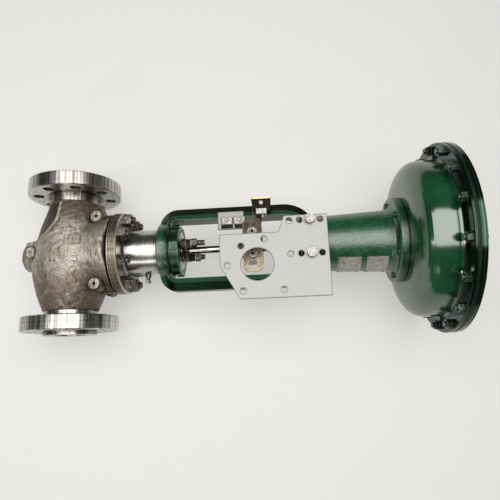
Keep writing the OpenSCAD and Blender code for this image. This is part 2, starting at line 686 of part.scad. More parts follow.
module stem_locknuts() color(turned_steel) at_stem() translate([0, 0, nut_stack_z]) for (k = [0, 1])
    translate([0, 0, k * (stem_nut_h + 0.1)]) rotate([0, 0, 20 * k]) difference() {
        hex_nut(stem_nut_af, stem_nut_h);
        translate([0, 0, -1]) cylinder(r = stem_r + running_gap, h = stem_nut_h + 2);
    }

module travel_indicator() color(turned_steel) at_stem() translate([0, 0, connector_z - indicator_t])
    difference() {
        rotate_extrude() polygon([[0, 0], [indicator_d / 2 - 3, 0], [indicator_d / 2, 1],
            [indicator_d / 2, indicator_t - 1], [indicator_d / 2 - 3, indicator_t], [0, indicator_t]]);
        translate([0, 0, -1]) cylinder(r = stem_r + running_gap, h = indicator_t + 2);
    }

// One half of the stem connector, on the near side; it clamps the ends of both stems
module connector_half() difference() {
    translate([-connector_w / 2, -connector_depth / 2, connector_z]) {
        chamfer = 5;
        linear_extrude(connector_h) polygon([[chamfer, 0], [connector_w - chamfer, 0],
            [connector_w, chamfer], [connector_w, connector_depth / 2 - face_gap],
            [0, connector_depth / 2 - face_gap], [0, chamfer]]);
    }
    translate([0, 0, connector_z - 1]) cylinder(r = stem_r + running_gap, h = connector_h + 2);
    translate([0, 0, stem_joint_z]) cylinder(r = act_stem_r + running_gap, h = connector_h);
    for (x = [-connector_screw_x, connector_screw_x]) translate([x, 0, stem_joint_z])
        rod_y(connector_screw_d / 2 + running_gap, -connector_depth, 1);
}

module stem_connector_front() color(turned_steel) at_stem() connector_half();
module stem_connector_rear() color(turned_steel) at_stem() mirror([0, 1, 0]) connector_half();

screw_head_r = connector_screw_d / 2 + 3;
screw_head_h = 8;
module connector_screws() color(dark_steel) at_stem()
    for (x = [-connector_screw_x, connector_screw_x]) translate([x, 0, stem_joint_z]) difference() {
        union() {
            rod_y(connector_screw_d / 2, -bracket_front_y - 2, connector_depth / 2 - 2);
            rod_y(screw_head_r + 2, -bracket_front_y - 2, -bracket_front_y);
            rod_y(screw_head_r, -bracket_front_y - 2 - screw_head_h, -bracket_front_y - 2);
        }
        translate([0, -bracket_front_y - 3 - screw_head_h, 0]) rotate([-90, 0, 0])
            cylinder(r = 3.4, h = 6, $fn = hex_sides);
    }

bracket_low_z = connector_z;
bracket_slot_w = 9;
module feedback_bracket() color(brass_colour) at_stem() plate_xz(bracket_front_y, bracket_t) difference() {
    polygon([[-bracket_left, bracket_low_z + 6], [-bracket_left + 6, bracket_low_z],
        [bracket_right - 4, bracket_low_z], [bracket_right, bracket_low_z + 4],
        [bracket_right, connector_top_z - 4], [bracket_right - 4, connector_top_z],
        [-bracket_left + 6, connector_top_z], [-bracket_left, connector_top_z - 6]]);
    for (x = [-connector_screw_x, connector_screw_x])
        translate([x, stem_joint_z]) circle(r = connector_screw_d / 2 + running_gap);
    translate([bracket_right - 10, stem_joint_z]) circle(d = bracket_slot_w);
    translate([bracket_right - 10, stem_joint_z - bracket_slot_w / 2]) square([20, bracket_slot_w]);
}

block_z = bracket_low_z + block_lift;
block_x = -bracket_left;
module feedback_block() color(seal_black) at_stem() difference() {
    translate([block_x, -bracket_front_y - block_depth, block_z]) cube([block_w, block_depth, block_h]);
    translate([block_x - 1, -bracket_front_y - block_depth / 2 - 3, block_z + block_h / 2 - 3])
        cube([8, 6, 6]);
    translate([block_x + 10, 0, block_z + block_h / 2])
        rod_y(2.5, -bracket_front_y - block_depth - 1, -bracket_front_y + 1);
}

cap_t = 2.5;
module block_cap() color(brass_colour) at_stem()
    translate([block_x - cap_t, -bracket_front_y - block_depth + 1, block_z + 1])
        cube([cap_t, block_depth - 2, block_h - 2]);

module block_screws() color(turned_steel) at_stem() {
    translate([block_x + 10, 0, block_z + block_h / 2]) {
        rod_y(2.4, -bracket_front_y - block_depth, -bracket_front_y - 1);
        rod_y(5, -bracket_front_y - block_depth - 3, -bracket_front_y - block_depth);
    }
    translate([block_x + block_w - 5, 0, block_z + 8])
        rod_y(3.5, -bracket_front_y - block_depth - 4, -bracket_front_y - block_depth);
}

// Section of a yoke leg: u runs outwards from the stem, v runs across the yoke
module leg_section() polygon([[-leg_w / 2, -leg_depth / 2], [-leg_w / 2 + 8, -leg_depth / 2],
    [leg_w / 2, -leg_ridge / 2], [leg_w / 2, leg_ridge / 2], [-leg_w / 2 + 8, leg_depth / 2],
    [-leg_w / 2, leg_depth / 2]]);

// One leg on the outlet side: arm from the hub, lower corner, straight leg, upper bend
module yoke_leg() {
    translate([leg_low_x, 0, hub_top_z - leg_w / 2]) rotate([0, -90, 0]) rotate([0, 0, 180])
        linear_extrude(leg_low_x) leg_section();
    translate([leg_low_x, 0, leg_low_z]) rotate([90, 0, 0]) rotate([0, 0, -90])
        rotate_extrude(angle = 90) translate([leg_low_r + leg_w / 2, 0]) leg_section();
    translate([leg_mid_x, 0, leg_low_z]) linear_extrude(leg_top_z - leg_low_z) leg_section();
    translate([leg_high_x, 0, leg_top_z]) rotate([90, 0, 0])
        rotate_extrude(angle = leg_high_a) translate([leg_high_r + leg_w / 2, 0]) leg_section();
}

module barrel_skin() rotate_extrude() polygon([[0, barrel_low_z], [barrel_low_d / 2 - 2, barrel_low_z],
    [barrel_low_d / 2, barrel_low_z + 2], [barrel_top_d / 2, top_flange_low_z - 10],
    [barrel_top_d / 2 + 3, top_flange_low_z - 3], [barrel_top_d / 2 + 8, top_flange_low_z],
    [top_flange_d / 2 - 2, top_flange_low_z], [top_flange_d / 2, top_flange_low_z + 2],
    [top_flange_d / 2, top_flange_z - 1], [top_flange_d / 2 - 1, top_flange_z], [0, top_flange_z]]);

scale_pad_x = leg_inner_x - 11;
air_boss_r = 11;
air_z = top_flange_z - air_boss_r + 1;
module yoke_skin() {
    translate([0, 0, shoulder_z]) rotate_extrude() polygon([[0, 0], [yoke_hub_d / 2 - 1.5, 0],
        [yoke_hub_d / 2, 1.5], [yoke_hub_d / 2, yoke_hub_h - 2], [yoke_hub_d / 2 - 2, yoke_hub_h],
        [0, yoke_hub_h]]);
    for (side = [0, 1]) mirror([side, 0, 0]) yoke_leg();
    barrel_skin();
    translate([0, 0, shoulder_z + yoke_hub_h / 2]) rod_y(7, -yoke_hub_d / 2 - 2, -yoke_hub_d / 2 + 10);
    for (x = [-1, 1]) translate([x * plate_hole_pitch_x / 2, 0, plate_bolt_z])
        rod_y(11, -plate_back_y, -20);
    translate([-leg_inner_x - 6, -leg_depth / 2 - 2, scale_z + 6])
        cube([leg_inner_x + 6 - scale_pad_x, 8, scale_h - 12]);
    intersection() {
        translate([0, 0, air_z]) rod_y(air_boss_r, 40, top_flange_d / 2 + 3);
        translate([0, 0, air_z - 20]) cylinder(d = 400, h = top_flange_z - air_z + 20);
    }
}

// The whole yoke casting; its legs and its barrel are cut apart at the foot of the barrel
module yoke_casting() difference() {
    yoke_skin();
    translate([0, 0, shoulder_z - 1]) cylinder(r = yoke_boss_d / 2 + fit_gap, h = yoke_hub_h + 20);
    translate([0, 0, shoulder_z - leg_w]) cylinder(r = bonnet_neck_d / 2 + face_gap, h = leg_w);
    translate([0, 0, barrel_low_z - 5]) cylinder(d = barrel_bore_d, h = barrel_roof_z - barrel_low_z + 5);
    translate([0, 0, barrel_roof_z - 1]) cylinder(r = bushing_d / 2, h = 60);
    translate([0, 0, top_flange_z - 20]) ring_of(cap_screws, cap_screw_pcd / 2, 30)
        cylinder(d = cap_screw_d, h = 30);
    for (x = [-1, 1]) translate([x * plate_hole_pitch_x / 2, 0, plate_bolt_z])
        rod_y(plate_bolt_d / 2, -plate_back_y - 1, -plate_back_y + 18);
    translate([0, 0, air_z]) rod_y(air_port_d / 2, top_flange_d / 2 - 24, top_flange_d / 2 + 4);
    translate([0, air_hole_y, air_z]) cylinder(r = 3, h = 40);
    for (z = [scale_z + 14, scale_z + scale_h - 6]) translate([-leg_inner_x + 6, 0, z])
        rod_y(scale_screw_r, -leg_depth / 2 - 3, -leg_depth / 2 + 5);
}
air_hole_y = top_flange_d / 2 - 20;
scale_screw_r = 2.5;

module yoke() color(green_paint) at_stem() intersection() {
    yoke_casting();
    cylinder(r = yoke_hub_d, h = barrel_low_z);
}

module spring_barrel() color(green_paint) at_stem() intersection() {
    yoke_casting();
    translate([0, 0, barrel_low_z]) cylinder(r = yoke_hub_d, h = top_flange_z);
}

module yoke_locknut() color(green_paint) at_stem() translate([0, 0, hub_top_z]) difference() {
    union() {
        cylinder(d = locknut_d, h = locknut_h);
        translate([0, 0, 3]) ring_of(locknut_lugs, locknut_d / 2) translate([-6, -4, 0])
            cube([12, 8, locknut_h - 3.5]);
    }
    translate([0, 0, -1]) cylinder(r = yoke_boss_d / 2 + running_gap, h = locknut_h + 2);
    translate([0, 0, locknut_h - 2]) cylinder(r1 = yoke_boss_d / 2, r2 = yoke_boss_d / 2 + 3, h = 2.01);
}

scale_front_y = leg_depth / 2 + 2 + scale_t;
module travel_scale() color(plate_grey) at_stem() plate_xz(scale_front_y, scale_t) difference() {
    translate([-leg_inner_x - 5, scale_z]) square([scale_w, scale_h]);
    for (z = [scale_z + 14, scale_z + scale_h - 6]) translate([-leg_inner_x + 6, z])
        circle(r = scale_screw_r + running_gap);
    for (z = [scale_z + 6 : 8 : scale_z + scale_h - 5]) translate([-leg_inner_x + 18, z - 1]) square([7, 2]);
}

module scale_screws() color(turned_steel) at_stem()
    for (z = [scale_z + 14, scale_z + scale_h - 6]) translate([-leg_inner_x + 6, 0, z]) {
        rod_y(scale_screw_r, -scale_front_y, -leg_depth / 2 + 4);
        translate([-4, -scale_front_y - 4, -4]) cube([8, 4, 8]);
    }

plate_window = [42.8, 340];
plate_extra_holes = [[11.1, 313.4], [1, 352.4], [43.4, 290], [86.6, 315], [87.1, 382]];
module plate_outline() polygon([[-plate_waist, plate_low_z], [44.3, plate_low_z],
    [plate_right, plate_low_z + 32], [plate_right, plate_top_z], [-plate_left, plate_top_z],
    [-plate_left, plate_top_z - 72.3], [-plate_waist, plate_top_z - 82.8]]);

module positioner_plate() color(plate_grey) at_stem() plate_xz(plate_y, plate_t) difference() {
    plate_outline();
    translate(plate_window) circle(d = plate_window_d);
    for (p = plate_extra_holes) translate(p) circle(d = plate_hole_d);
    for (x = [-1, 1], i = [0 : 3])
        translate([x * plate_hole_pitch_x / 2, plate_hole_z + i * plate_hole_step]) circle(d = plate_hole_d);
}

module plate_bolts() color(turned_steel) at_stem()
    for (x = [-1, 1]) translate([x * plate_hole_pitch_x / 2, 0, plate_bolt_z]) {
        rod_y(plate_bolt_d / 2, -plate_y, -plate_back_y + 16);
        rod_y(9.5, -plate_y - 2, -plate_y);
        translate([0, -plate_y - 2, 0]) rotate([90, 0, 0]) hex_nut(14.3, 6);
    }

// Curved plates that follow the barrel, with a rivet at each corner
name_plate_zs = [[476, 516], [525, 561]];
name_plate_a = [41, 96];
name_plate_t = 1;
function barrel_r(z) = barrel_low_d / 2 + (barrel_top_d - barrel_low_d) / 2
    * (z - barrel_low_z - 2) / (top_flange_low_z - barrel_low_z - 12);
module nameplates() color(plate_grey) at_stem() for (span = name_plate_zs)
    rotate([0, 0, name_plate_a[0] - 90]) rotate_extrude(angle = name_plate_a[1] - name_plate_a[0])
        polygon([[barrel_r(span[0]) + 0.02, span[0]], [barrel_r(span[0]) + name_plate_t, span[0]],
            [barrel_r(span[1]) + name_plate_t, span[1]], [barrel_r(span[1]) + 0.02, span[1]]]);

module nameplate_rivets() color(dark_steel) at_stem()
    for (span = name_plate_zs, z = [span[0] + 3, span[1] - 3], a = [name_plate_a[0] + 4, name_plate_a[1] - 4])
        rotate([0, 0, a - 90]) translate([barrel_r(z) + name_plate_t, 0, z]) rotate([0, 90, 0])
            translate([0, 0, 0.1]) cylinder(r1 = 1.8, r2 = 1.2, h = 1.2);

act_stem_top_z = disc_z + disc_t;
module actuator_stem() color(turned_steel) at_stem() difference() {
  union() {
    translate([0, 0, stem_joint_z + 1.5]) cylinder(r = act_stem_r, h = disc_z - stem_joint_z - 1.5 - diaphragm_t);
    translate([0, 0, disc_z - diaphragm_t - 1]) cylinder(r = spigot_r, h = disc_t + diaphragm_t + 1);
  }
    translate([0, 0, disc_z - 22]) cylinder(r = cap_shank_r, h = 40);
}
spigot_r = 7;
cap_shank_r = 4;

module spring_adjuster() color(turned_steel) at_stem() translate([0, 0, adjuster_z]) difference() {
    union() {
        hex_nut(adjuster_af, adjuster_h);
        translate([0, 0, adjuster_h - 5]) cylinder(r = adjuster_af / 2 + 3, h = 5);
    }
    translate([0, 0, -1]) cylinder(r = act_stem_r + running_gap, h = adjuster_h + 2);
}

module spring_seat() color(dark_steel) at_stem() difference() {
    rotate_extrude() polygon([[0, spring_seat_low_z], [adjuster_af / 2 + 5, spring_seat_low_z],
        [spring_d / 2 + spring_wire / 2 + 2, spring_seat_z - 3], [spring_d / 2 + spring_wire / 2 + 2,
        spring_seat_z], [spring_d / 2 - spring_wire / 2 - 1, spring_seat_z],
        [spring_d / 2 - spring_wire / 2 - 2.5, spring_seat_z + 6], [0, spring_seat_z + 6]]);
    translate([0, 0, spring_seat_low_z - 1]) cylinder(r = act_stem_r + running_gap, h = spring_seat_t + 10);
}

// Compression spring with a closed dead coil at each end, ground flat
spring_sides = 10;
spring_steps = 20;
function coil_rise(t, gap) = t < 1 ? t * spring_wire
    : t > spring_coils - 1 ? (spring_coils - 1 - 1) * gap + spring_wire + (t - spring_coils + 1) * spring_wire
    : spring_wire + (t - 1) * gap;
module spring() color(dark_steel) at_stem() {
    low = spring_seat_z + face_gap;
    high = barrel_roof_z - face_gap;
    span = high - low;
    n = ceil(spring_coils * spring_steps);
    gap = (span - 2 * spring_wire) / (spring_coils - 2);
    points = [for (i = [0 : n]) let (t = spring_coils * i / n)
        for (j = [0 : spring_sides - 1]) let (b = 360 * j / spring_sides,
            r = spring_d / 2 + spring_wire / 2 * cos(b))
        [r * cos(360 * t), r * sin(360 * t), low + coil_rise(t, gap) + spring_wire / 2 * sin(b)]];
    sides = [for (i = [0 : n - 1], j = [0 : spring_sides - 1]) let (k = (j + 1) % spring_sides)
        [i * spring_sides + j, (i + 1) * spring_sides + j, (i + 1) * spring_sides + k, i * spring_sides + k]];
    caps = [[for (j = [0 : spring_sides - 1]) j],
        [for (j = [spring_sides - 1 : -1 : 0]) n * spring_sides + j]];
    intersection() {
        polyhedron(points, concat(sides, caps));
        translate([0, 0, low]) cylinder(d = spring_d + 3 * spring_wire, h = span);
    }
}

module seal_bushing() color(brass_colour) at_stem() difference() {
    translate([0, 0, barrel_roof_z]) cylinder(r = bushing_d / 2, h = top_flange_z - barrel_roof_z + casing_t);
    translate([0, 0, barrel_roof_z - 1])
        cylinder(r = act_stem_r + running_gap, h = top_flange_z - barrel_roof_z + casing_t + 2);
    for (z = [barrel_roof_z + 5, top_flange_z - 5]) translate([0, 0, z]) rotate_extrude()
        translate([act_stem_r, -seal_w / 2]) square([seal_w, seal_w]);
}
seal_w = 4;

module seal_rings() color(seal_black) at_stem()
    for (z = [barrel_roof_z + 5, top_flange_z - 5]) translate([0, 0, z]) rotate_extrude()
        translate([act_stem_r + seal_w / 2 + 0.03, 0]) circle(r = seal_w / 2 - 0.05);

module casing_cap_screws() color(dark_steel) at_stem() translate([0, 0, top_flange_z])
    ring_of(cap_screws, cap_screw_pcd / 2, 30) {
        translate([0, 0, -18]) cylinder(d = cap_screw_d, h = 18 + casing_t);
        translate([0, 0, casing_t]) hex_nut(1.6 * cap_screw_d, 6.5);
    }

casing_fillet = 8;
module casing_bolt_holes(z) translate([0, 0, z]) ring_of(casing_bolts, casing_pcd / 2, -casing_turn)
    cylinder(d = casing_bolt_d + 0.6, h = 60, center = true);

module lower_casing() color(green_paint) at_stem() difference() {
    rotate_extrude() polygon(concat([[bushing_d / 2 + fit_gap, top_flange_z]],
        shoulder(dome_floor_d / 2, dome_r, top_flange_z, dome_rise, dome_power),
        [for (a = [0 : 15 : 90]) [dome_r + casing_fillet - casing_fillet * cos(a),
            casing_z - casing_fillet + casing_fillet * sin(a)]],
        [[casing_r - 1, casing_z], [casing_r, casing_z + 1], [casing_r, diaphragm_z - 0.5],
        [casing_r - 0.5, diaphragm_z], [dome_r - casing_t + 2, diaphragm_z],
        [dome_r - casing_t, diaphragm_z - 2]],
        reversed(shoulder(dome_floor_d / 2, dome_r - casing_t, top_flange_z + casing_t, dome_rise, dome_power)),
        [[bushing_d / 2 + fit_gap, top_flange_z + casing_t]]));
    casing_bolt_holes(casing_z);
    translate([0, 0, top_flange_z - 1]) ring_of(cap_screws, cap_screw_pcd / 2, 30)
        cylinder(d = cap_screw_d + 0.6, h = casing_t + 2);
    translate([0, air_hole_y, top_flange_z - 1]) cylinder(r = 3, h = casing_t + 2);
}

fold_in_r = plate_disc_d / 2 + 4;
fold_out_r = dome_r - casing_t - 3;
module diaphragm() color(seal_black) at_stem() difference() {
    rotate_extrude() polygon([[spigot_r + fit_gap, disc_z - diaphragm_t], [fold_in_r, disc_z - diaphragm_t],
        [fold_in_r + 8, disc_z + 4], [fold_out_r - 4, diaphragm_z - 4], [fold_out_r, diaphragm_z],
        [casing_r - 0.5, diaphragm_z], [casing_r - 0.5, cover_z], [fold_out_r - 3, cover_z],
        [fold_out_r - 8, diaphragm_z - 2], [fold_in_r + 4, disc_z + 5], [fold_in_r - 1, disc_z],
        [spigot_r + fit_gap, disc_z]]);
    casing_bolt_holes(diaphragm_z);
}

module diaphragm_plate() color(turned_steel) at_stem() difference() {
    rotate_extrude() polygon([[0, disc_z], [plate_disc_d / 2 - 8, disc_z], [plate_disc_d / 2 - 3, disc_z + 2],
        [plate_disc_d / 2, disc_z + 7], [plate_disc_d / 2, disc_z + 16], [plate_disc_d / 2 - 3, disc_z + 16],
        [plate_disc_d / 2 - 4, disc_z + 8], [plate_disc_d / 2 - 9, disc_z + disc_t], [0, disc_z + disc_t]]);
    translate([0, 0, disc_z - 1]) cylinder(r = spigot_r + running_gap, h = disc_t + 2);
}

module stem_washer() color(turned_steel) at_stem() translate([0, 0, disc_z + disc_t])
    tube(22, cap_shank_r + running_gap, washer_t);
washer_t = 3;

module stem_cap_screw() color(dark_steel) at_stem() translate([0, 0, disc_z + disc_t + washer_t]) {
    hex_nut(17, 7);
    translate([0, 0, -24]) cylinder(r = cap_shank_r, h = 25);
}

cover_dip = 25;
module upper_casing() color(green_paint) at_stem() difference() {
    rotate_extrude() polygon([[0, cover_z + cover_rise - casing_t + 2], [cover_dip, cover_z + cover_rise - casing_t + 2],
        [60, cover_z + cover_rise - casing_t - 3], [100, cover_z + cover_rise - casing_t - 14],
        [dome_r - casing_t - 5, cover_z + 12], [dome_r - casing_t, cover_z], [casing_r - 0.5, cover_z],
        [casing_r, cover_z + 0.5], [casing_r, cover_top_z - 1], [casing_r - 1, cover_top_z],
        [dome_r + 4, cover_top_z], [dome_r, cover_top_z + 4], [dome_r - 4, cover_z + 16],
        [103, cover_z + cover_rise - 11], [61, cover_z + cover_rise + 1], [cover_dip, cover_z + cover_rise + 6],
        [16, cover_z + cover_rise + 7], [15, cover_z + cover_rise + 13], [0, cover_z + cover_rise + 13]]);
    casing_bolt_holes(cover_z);
    translate([0, 0, cover_z]) cylinder(r = vent_r, h = 100);
}
vent_r = 7;

module vent_plug() color(brass_colour) at_stem() translate([0, 0, cover_z + cover_rise + 13]) {
    translate([0, 0, -9]) cylinder(r = vent_r - running_gap, h = 9);
    hex_nut(16, 7);
}

bolt_grip = cover_top_z - casing_z;
module casing_screws() color(dark_steel) at_stem() ring_of(casing_bolts, casing_pcd / 2, -casing_turn) {
    translate([0, 0, casing_z - casing_nut_h - 4]) cylinder(d = casing_bolt_d, h = bolt_grip + casing_nut_h + 4);
    translate([0, 0, cover_top_z]) hex_nut(casing_nut_af, 6.5);
}

module casing_nuts() color(dark_steel) at_stem()
    translate([0, 0, casing_z]) mirror([0, 0, 1]) ring_of(casing_bolts, casing_pcd / 2, -casing_turn)
        difference() {
            hex_nut(casing_nut_af, casing_nut_h);
            translate([0, 0, -1]) cylinder(r = casing_bolt_d / 2 + running_gap, h = casing_nut_h + 2);
        }

valve_body();
seat_ring();
seat_gasket();
cage();
valve_plug();
plug_seal_ring();
stem_pin();
bonnet_gasket();
bonnet();
bonnet_studs();
bonnet_nuts();
bonnet_side_plug();
packing_box_ring();
lantern_ring();
packing_rings();
packing_follower();
wiper_ring();
packing_flange();
packing_studs();
packing_nuts();
valve_stem();
stem_locknuts();
travel_indicator();
stem_connector_front();
stem_connector_rear();
connector_screws();
feedback_bracket();
feedback_block();
block_cap();
block_screws();
yoke();
spring_barrel();
yoke_locknut();
travel_scale();
scale_screws();
positioner_plate();
plate_bolts();
nameplates();
nameplate_rivets();
actuator_stem();
spring();
spring_seat();
spring_adjuster();
seal_bushing();
seal_rings();
casing_cap_screws();
lower_casing();
diaphragm();
diaphragm_plate();
stem_cap_screw();
stem_washer();
upper_casing();
casing_screws();
casing_nuts();
vent_plug();
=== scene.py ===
"""Looks of a flanged globe control valve with a cast yoke and a spring-and-diaphragm actuator.

Metres, in the model's own frame: +X runs along the pipe from the inlet, +Z up the stem, and the
positioner plate is on the -Y side. The valve lies with its back against a pale board, and the
camera looks at the plate.
"""

import math

import bmesh
import bpy
import numpy as np
from mathutils import Matrix, Vector


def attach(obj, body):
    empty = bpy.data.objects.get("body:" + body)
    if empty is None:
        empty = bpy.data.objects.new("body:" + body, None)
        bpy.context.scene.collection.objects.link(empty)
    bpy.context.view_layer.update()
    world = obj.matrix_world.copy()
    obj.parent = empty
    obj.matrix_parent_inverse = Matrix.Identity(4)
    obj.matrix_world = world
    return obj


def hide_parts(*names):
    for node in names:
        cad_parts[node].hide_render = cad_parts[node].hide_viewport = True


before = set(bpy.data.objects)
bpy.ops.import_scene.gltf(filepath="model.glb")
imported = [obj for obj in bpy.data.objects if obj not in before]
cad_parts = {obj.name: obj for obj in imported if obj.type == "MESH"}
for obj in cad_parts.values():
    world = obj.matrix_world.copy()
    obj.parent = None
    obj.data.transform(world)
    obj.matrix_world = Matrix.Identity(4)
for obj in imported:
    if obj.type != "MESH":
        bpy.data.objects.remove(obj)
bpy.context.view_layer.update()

MM = 0.001

# Places on the valve where a finish changes. A pair says where its mask is 0 and where it is 1.
STEM_X = 0.143
INLET_TURNED = 0.0483
OUTLET_TURNED = 0.2447
BODY_TOP_Z = (0.0822, 0.0830)
LUG_FACE_Y = -0.0494
LUG_FACE_RADIUS = 0.0095
LUG_GROOVE_RADIUS = 0.0052
LUG_SHADE_RADIUS = (0.0145, 0.0120)
LUG_RINGS_Y = (-0.040, -0.046)
BONNET_RIM_RADIUS = 0.0715
BONNET_RIM_MIDDLE = 0.0951
BONNET_JOINT_Z = (BONNET_RIM_MIDDLE - 0.0074, BONNET_RIM_MIDDLE - 0.0080)
BONNET_STUDS_RADIUS = (0.070, 0.068)
BONNET_STUDS_Z = (0.116, 0.118)
PACKING_RADIUS = (0.036, 0.034)
PACKING_Z = ((0.15, 0.16), (0.26, 0.25))
OILY_STEM_Z = ((0.19, 0.20), (0.34, 0.33))
LEGS_Z = ((0.172, 0.184), (0.435, 0.425))
NAMEPLATES_Z = ((0.478, 0.480), (0.600, 0.598))
PAINTED_SCREWS_RADIUS = (0.040, 0.042)
PAINTED_SCREWS_Z = (0.50, 0.51)
CASING_RIM_RADIUS = (0.1385, 0.1395)
CASING_RIM_Z = (0.630, 0.634)
CASING_SEAMS_RADIUS = (0.163, 0.164)
CASING_SEAMS_Z = (0.6585, 0.6633, 0.6683)
DIAPHRAGM_EDGE_RADIUS = (0.158, 0.160)

# Outline of the body casting, in millimetres from the crossing of pipe and stem
INLET_NECK = 93.2
OUTLET_NECK = 100.2
NECK_RADIUS = 47.5
BELLY_RADIUS = 70.0
TOP_Z = 84.0
BOWL_Z = (0, 22, 38, 50, 58, 67, 76, 82)
BOWL_RADIUS = (70, 67, 65, 65.4, 67, 69, 71.2, 72)
RIDGE_X = (-92.2, -66.0, -55.0, -47.0, -38.5, -30.5, -25.0, -22.0)
RIDGE_Z = (-9.0, -8.0, -9.5, -13.5, -19.5, -27.0, -35.0, -46.0)
RIDGE_FADE_X = (-93.0, -89.0, -26.0, -22.0)
KEEL_X = (-93.2, -84.2, -72.2, -46, -25, 9)
KEEL_RADIUS = (44.5, 46, 50, 58, 62, 62)
FOOT_DEPTH = (40, 70.5, 80.5, 84.5)
FOOT_RADIUS = (31, 27, 27, 23)
INLET_WEB_X = (-93.2, -73, -66)
INLET_WEB_TOP = (52.5, 62.5, TOP_Z)
OUTLET_WEB_X = (64, 71, 73, 86.2, 91.2, 99.2)
OUTLET_WEB_TOP = (TOP_Z, 65.5, 48.5, 44.5, 50.5, 49.5)
WEB_HALF_THICKNESS = 6.0
WEB_FROM_Z = 30.0
WEB_FROM_X = 40.0
PAD_HALF_WIDTH = 48.0
PAD_Z = (-66.0, -40.5)
PAD_TO_X = 10.0

# The turned rings on which the skin of the casting ends, in millimetres
RING_RADIUS = 46.0
RING_SLACK = 0.6
RING_FROM_X = 88.0
SKIN_SINK = 0.3
SKIN_RUN_ON = 1.5
FACE_SLACK = 0.1

# How finely the skin is tried and drawn, in millimetres and in counts
TRIED_REACHES = (36.0, 104.0, 0.5)
REACH_TOLERANCE = 0.02
BLUR_PASSES = 2
WAVE_HEIGHT = 0.22
CASTING_ROWS = 194
CASTING_COLUMNS = 320

# Drilled lugs in millimetres: x and z from the crossing, radius of the turned face, radius of the
# step behind it and how far from the middle plane that step lies
LUGS = ((-60, 59.5, 9.5, 12.5, 47.0), (60, 59.5, 9.5, 12.5, 47.0), (0, -55, 8.5, 11.5, 48.5))
LUG_END = 50.0
LUG_ROOT = 27.0
LUG_HOLE_RADIUS = 2.6
LUG_HOLE_END = 44.0

# Upturned lip of the upper casing
LIP_INNER, LIP_OUTER = 0.1625, 0.1654
LIP_LOW, LIP_HIGH = 0.6675, 0.6727
LIP_ROUNDING = 0.0008

SHARP_ANGLE = math.radians(32.0)
CORNER_SAMPLES = 6
ENAMEL_IOR = 1.65

# Where the photograph was taken from
EYE = Vector((0.32792, -0.82246, 0.36526))
FORWARD = Vector((-0.2139, 0.9757, -0.0473))
RIGHT = Vector((0.0392, 0.0570, 0.9976))
LENS_MM = 33.63
SENSOR_MM = 36.0

# The board behind the valve touches the rims of the pipe flanges and of the diaphragm casing
BOARD_TILT = math.radians(7.03)
BOARD_GAP = 0.0828
BOARD_HALF = 3.0
BOARD_COLOUR = (0.38, 0.375, 0.36)
BOARD_GLOW = (0.42, 0.42, 0.41)

# Lamps: name, place, what it is aimed at, width, height, watts and colour
WHITE = (1.0, 1.0, 1.0)
LAMPS = (
    ("window", (0.10, -1.75, 0.45), (0.10, 0.0, 0.45), 1.6, 2.3, 45.0, (1.0, 0.99, 0.97)),
    ("left_lamp", (0.80, -1.75, -1.26), (0.18, 0.0, 0.6), 0.10, 0.6, 5.0, WHITE),
    ("right_lamp", (2.40, -1.42, -0.38), (0.22, 0.0, 0.6), 0.14, 0.5, 6.0, WHITE),
)
ROOM_COLOUR = (0.97, 0.98, 1.0)
ROOM_LIGHT = 0.05
ROOM_SEEN = 0.7


# ---- Shader arithmetic ----


class Wire:
    """An output socket of a node tree. Arithmetic on it adds Math nodes, and node() adds any
    other."""

    def __init__(self, tree, socket=None):
        self.tree, self.socket = tree, socket

    def node(self, kind, settings=None, inputs=None, output=0):
        """Adds a node of that type, makes its settings, fills its sockets with values or wires, and
        gives back one of its outputs."""
        made = self.tree.nodes.new(kind)
        for name, value in (settings or {}).items():
            setattr(made, name, value)
        for name, value in (inputs or {}).items():
            if isinstance(value, Wire):
                self.tree.links.new(value.socket, made.inputs[name])
            else:
                made.inputs[name].default_value = value
        return Wire(self.tree, made.outputs[output] if made.outputs else None)

    def math(self, operation, first, second=0.0):
        return self.node("ShaderNodeMath", {"operation": operation}, {0: first, 1: second})

    def __add__(self, other):
        return self.math("ADD", self, other)

    __radd__ = __add__

    def __sub__(self, other):
        return self.math("SUBTRACT", self, other)

    def __rsub__(self, other):
        return self.math("SUBTRACT", other, self)

    def __mul__(self, other):
        return self.math("MULTIPLY", self, other)

    __rmul__ = __mul__

    def __pow__(self, power):
        return self.math("POWER", self, power)

    def __abs__(self):
        return self.math("ABSOLUTE", self)

    def at_least(self, other):
        return self.math("MAXIMUM", self, other)

    def at_most(self, other):
        return self.math("MINIMUM", self, other)

    def ramp(self, low, high):
        """0 below low, 1 above high, and a smooth step between; low may be the larger."""
        return self.node(
            "ShaderNodeMapRange",
            {"interpolation_type": "SMOOTHSTEP"},
            {"Value": self, "From Min": low, "From Max": high},
        )

    def span(self, start, end):
        """1 from one place to another. Each is a pair: where the mask is 0 and where it is 1."""
        return self.ramp(*start) * self.ramp(*end)

    def between(self, first, second):
        """Colour first where the mask is 0 and colour second where it is 1."""
        shades = {
            6: first if isinstance(first, Wire) else (*first, 1.0),
            7: second if isinstance(second, Wire) else (*second, 1.0),
        }
        return self.node("ShaderNodeMix", {"data_type": "RGBA"}, {0: self, **shades}, 2)


def empty_tree(owner):
    """Clears the node tree of a material or a world and gives back a wire to start from."""
    owner.use_nodes = True
    owner.node_tree.nodes.clear()
    return Wire(owner.node_tree)


